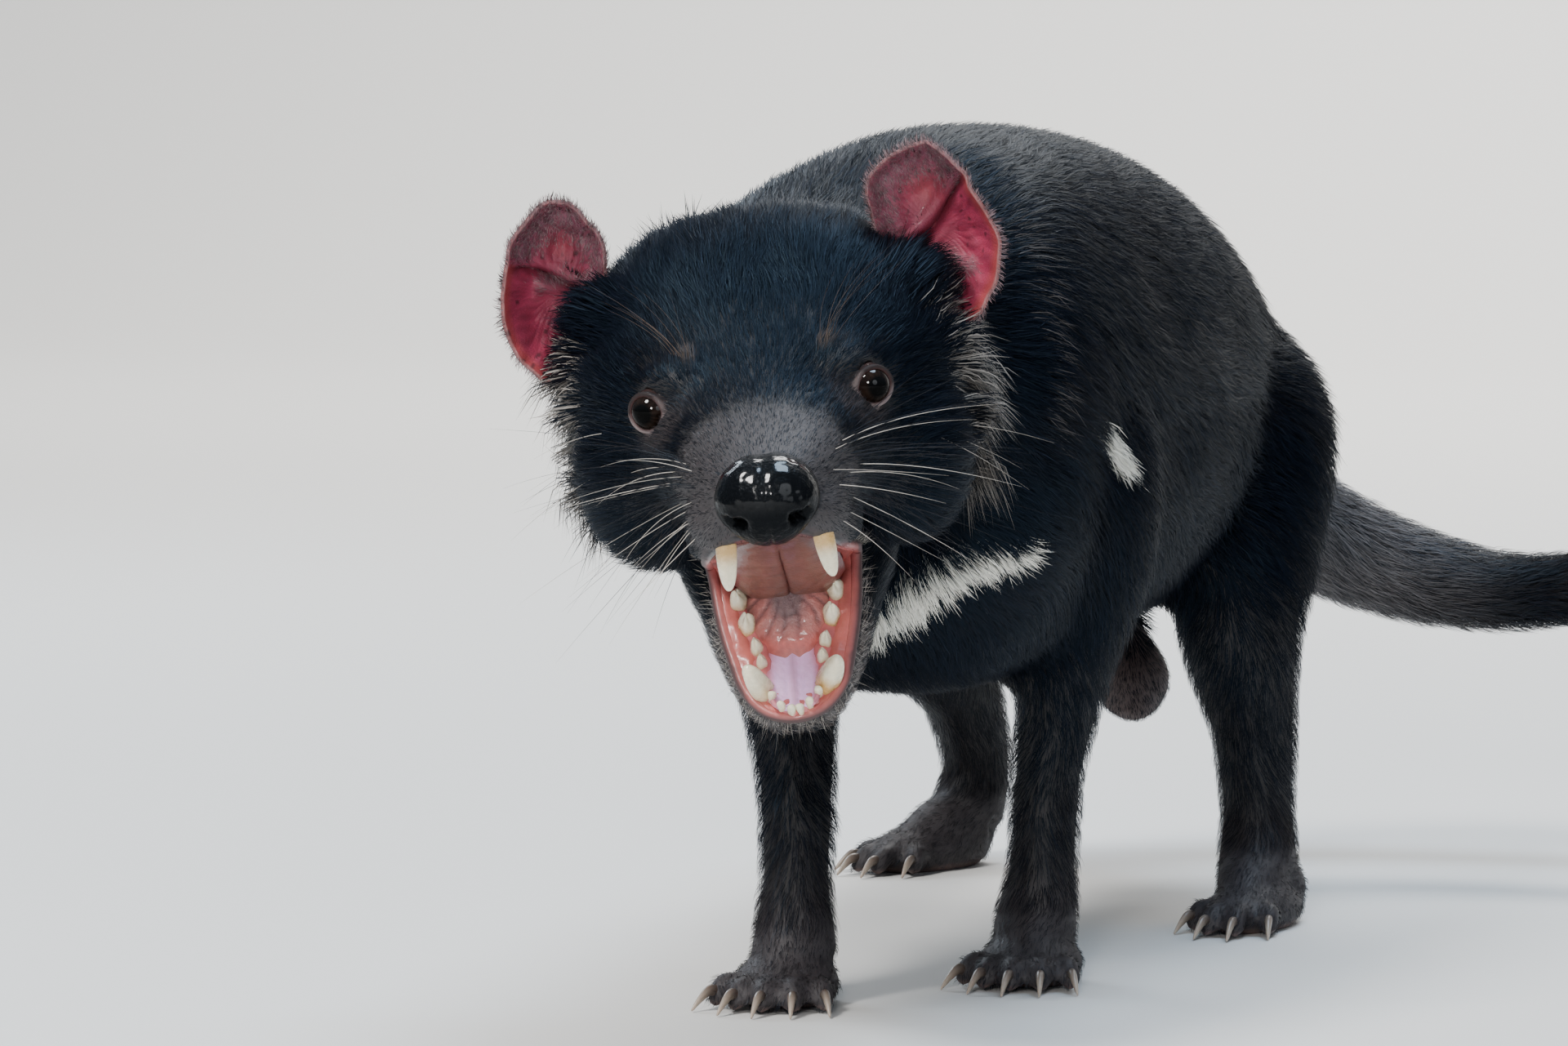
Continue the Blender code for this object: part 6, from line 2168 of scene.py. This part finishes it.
class DEVIL_OT_whiskers(bpy.types.Operator):
    """Make the whiskers, the bristles of the chin and the long hairs of the brow"""

    bl_idname = "devil.whiskers"
    bl_label = "Whiskers"

    def execute(self, context):
        draw = np.random.default_rng(3)
        thickness = context.scene.devil_face.whisker
        material = hair_finish("whisker", 0.3)
        long = []
        fine = []
        for side, _ in SIDES:
            side_hairs(draw, side, long, fine)
        chin_hairs(draw, fine)
        hair_piece("whiskers", long, thickness, material)
        hair_piece("bristles", fine, thickness * 0.55, material, 3)
        return {"FINISHED"}


# Stage

CAMERA_PLACE = Vector((0.571, -1.995, 0.304))
CAMERA_TURN = math.radians(17.0)
CAMERA_TILT = math.radians(4.0)
CAMERA_LENS = 144.4
BACKDROP_START = 4.5
BACKDROP_RADIUS = 2.0
# Lights: name, place, what it points at, size, share of the main light's power, colour.
AIM = Vector((0.0, 0.0, 0.14))
LIGHTS = (
    ("key", (-0.8, -1.5, 2.0), AIM, 0.7, 1.0, (1.0, 0.98, 0.95)),
    ("fill", (1.9, -1.9, 0.9), AIM, 1.2, 0.12, (0.9, 0.95, 1.0)),
    ("front", (0.3, -2.1, 0.75), HEAD_PLACE - Vector((0.0, 0.0, 0.05)), 0.35, 0.3, (1.0, 0.97, 0.94)),
    ("top", (0.4, -0.1, 2.3), AIM, 1.0, 0.6, (0.62, 0.8, 1.0)),
    ("rim", (-1.5, 1.2, 1.3), AIM, 0.8, 0.27, (0.8, 0.9, 1.0)),
    ("back", (0.0, 3.4, 4.2), Vector((0.0, 5.6, 0.8)), 3.5, 8.0, (1.0, 0.99, 0.97)),
)


def build_backdrop(colour):
    """A floor that rises behind the animal in a round bend."""
    start, bend = BACKDROP_START, BACKDROP_RADIUS
    profile = [(-9.0, 0.0), (start, 0.0)]
    for angle in np.arange(1, 13) * HALF_TURN / 24:
        profile.append((start + bend * math.sin(angle), bend - bend * math.cos(angle)))
    profile.append((start + bend, 7.0))
    points = [(x, y, z) for y, z in profile for x in (-12.0, 12.0)]
    faces = [(2 * row, 2 * row + 1, 2 * row + 3, 2 * row + 2) for row in range(len(profile) - 1)]
    floor = object_from("floor", points, faces)
    floor.data.materials.append(Finish("floor").surface(base_color=(*colour, 1.0), roughness=0.75))
    return floor


def place_towards(context, thing, place, way):
    """Put a light or the camera in its place, looking along a way."""
    thing.location = place
    thing.rotation_euler = way.to_track_quat("-Z", "Y").to_euler()
    context.scene.collection.objects.link(thing)


class DEVIL_OT_stage(bpy.types.Operator):
    """Make the floor, the lights and the camera"""

    bl_idname = "devil.stage"
    bl_label = "Stage"

    def execute(self, context):
        settings = context.scene.devil_stage
        floor = build_backdrop(settings.floor)
        world = bpy.data.worlds.new("studio")
        world.use_nodes = True
        background = world.node_tree.nodes["Background"]
        background.inputs["Color"].default_value = (0.62, 0.79, 1.0, 1.0)
        background.inputs["Strength"].default_value = 0.15
        context.scene.world = world
        for name, place, target, size, power, colour in LIGHTS:
            data = bpy.data.lights.new(name, "AREA")
            data.shape = "DISK"
            data.size = size
            data.energy = settings.light * power
            data.color = colour
            place_towards(context, bpy.data.objects.new(name, data), place, target - Vector(place))
        data = bpy.data.cameras.new("camera")
        data.lens = CAMERA_LENS
        data.clip_start = 0.05
        camera = bpy.data.objects.new("camera", data)
        level = math.cos(CAMERA_TILT)
        forward = (-math.sin(CAMERA_TURN) * level, math.cos(CAMERA_TURN) * level, -math.sin(CAMERA_TILT))
        place_towards(context, camera, BODY @ CAMERA_PLACE, Vector(forward))
        context.scene.camera = camera
        return {"FINISHED"}


# Panel

OPERATORS = (DEVIL_OT_skin, DEVIL_OT_coat, DEVIL_OT_eyes, DEVIL_OT_nose, DEVIL_OT_ears, DEVIL_OT_mouth,
             DEVIL_OT_claws, DEVIL_OT_whiskers, DEVIL_OT_stage)
SETTINGS = {"devil_skin": SkinSettings, "devil_coat": CoatSettings, "devil_face": FaceSettings,
            "devil_stage": StageSettings}


class DEVIL_PT_pieces(bpy.types.Panel):
    """Lists the pieces of the model and their settings"""

    bl_idname = "DEVIL_PT_pieces"
    bl_label = "Tasmanian Devil"
    bl_space_type = "VIEW_3D"
    bl_region_type = "UI"
    bl_category = "Devil"

    def draw(self, context):
        for key, group in SETTINGS.items():
            box = self.layout.box()
            for name in group.__annotations__:
                box.prop(getattr(context.scene, key), name)
        for operator in OPERATORS:
            self.layout.operator(operator.bl_idname)


def register():
    for group in (*SETTINGS.values(), *OPERATORS, DEVIL_PT_pieces):
        bpy.utils.register_class(group)
    for key, group in SETTINGS.items():
        setattr(bpy.types.Scene, key, PointerProperty(type=group))


def unregister():
    for key in SETTINGS:
        delattr(bpy.types.Scene, key)
    for group in (DEVIL_PT_pieces, *reversed(OPERATORS), *SETTINGS.values()):
        bpy.utils.unregister_class(group)


def main():
    register()
    for operator in OPERATORS:
        module, name = operator.bl_idname.split(".")
        getattr(getattr(bpy.ops, module), name)()


if __name__ == "__main__":
    main()
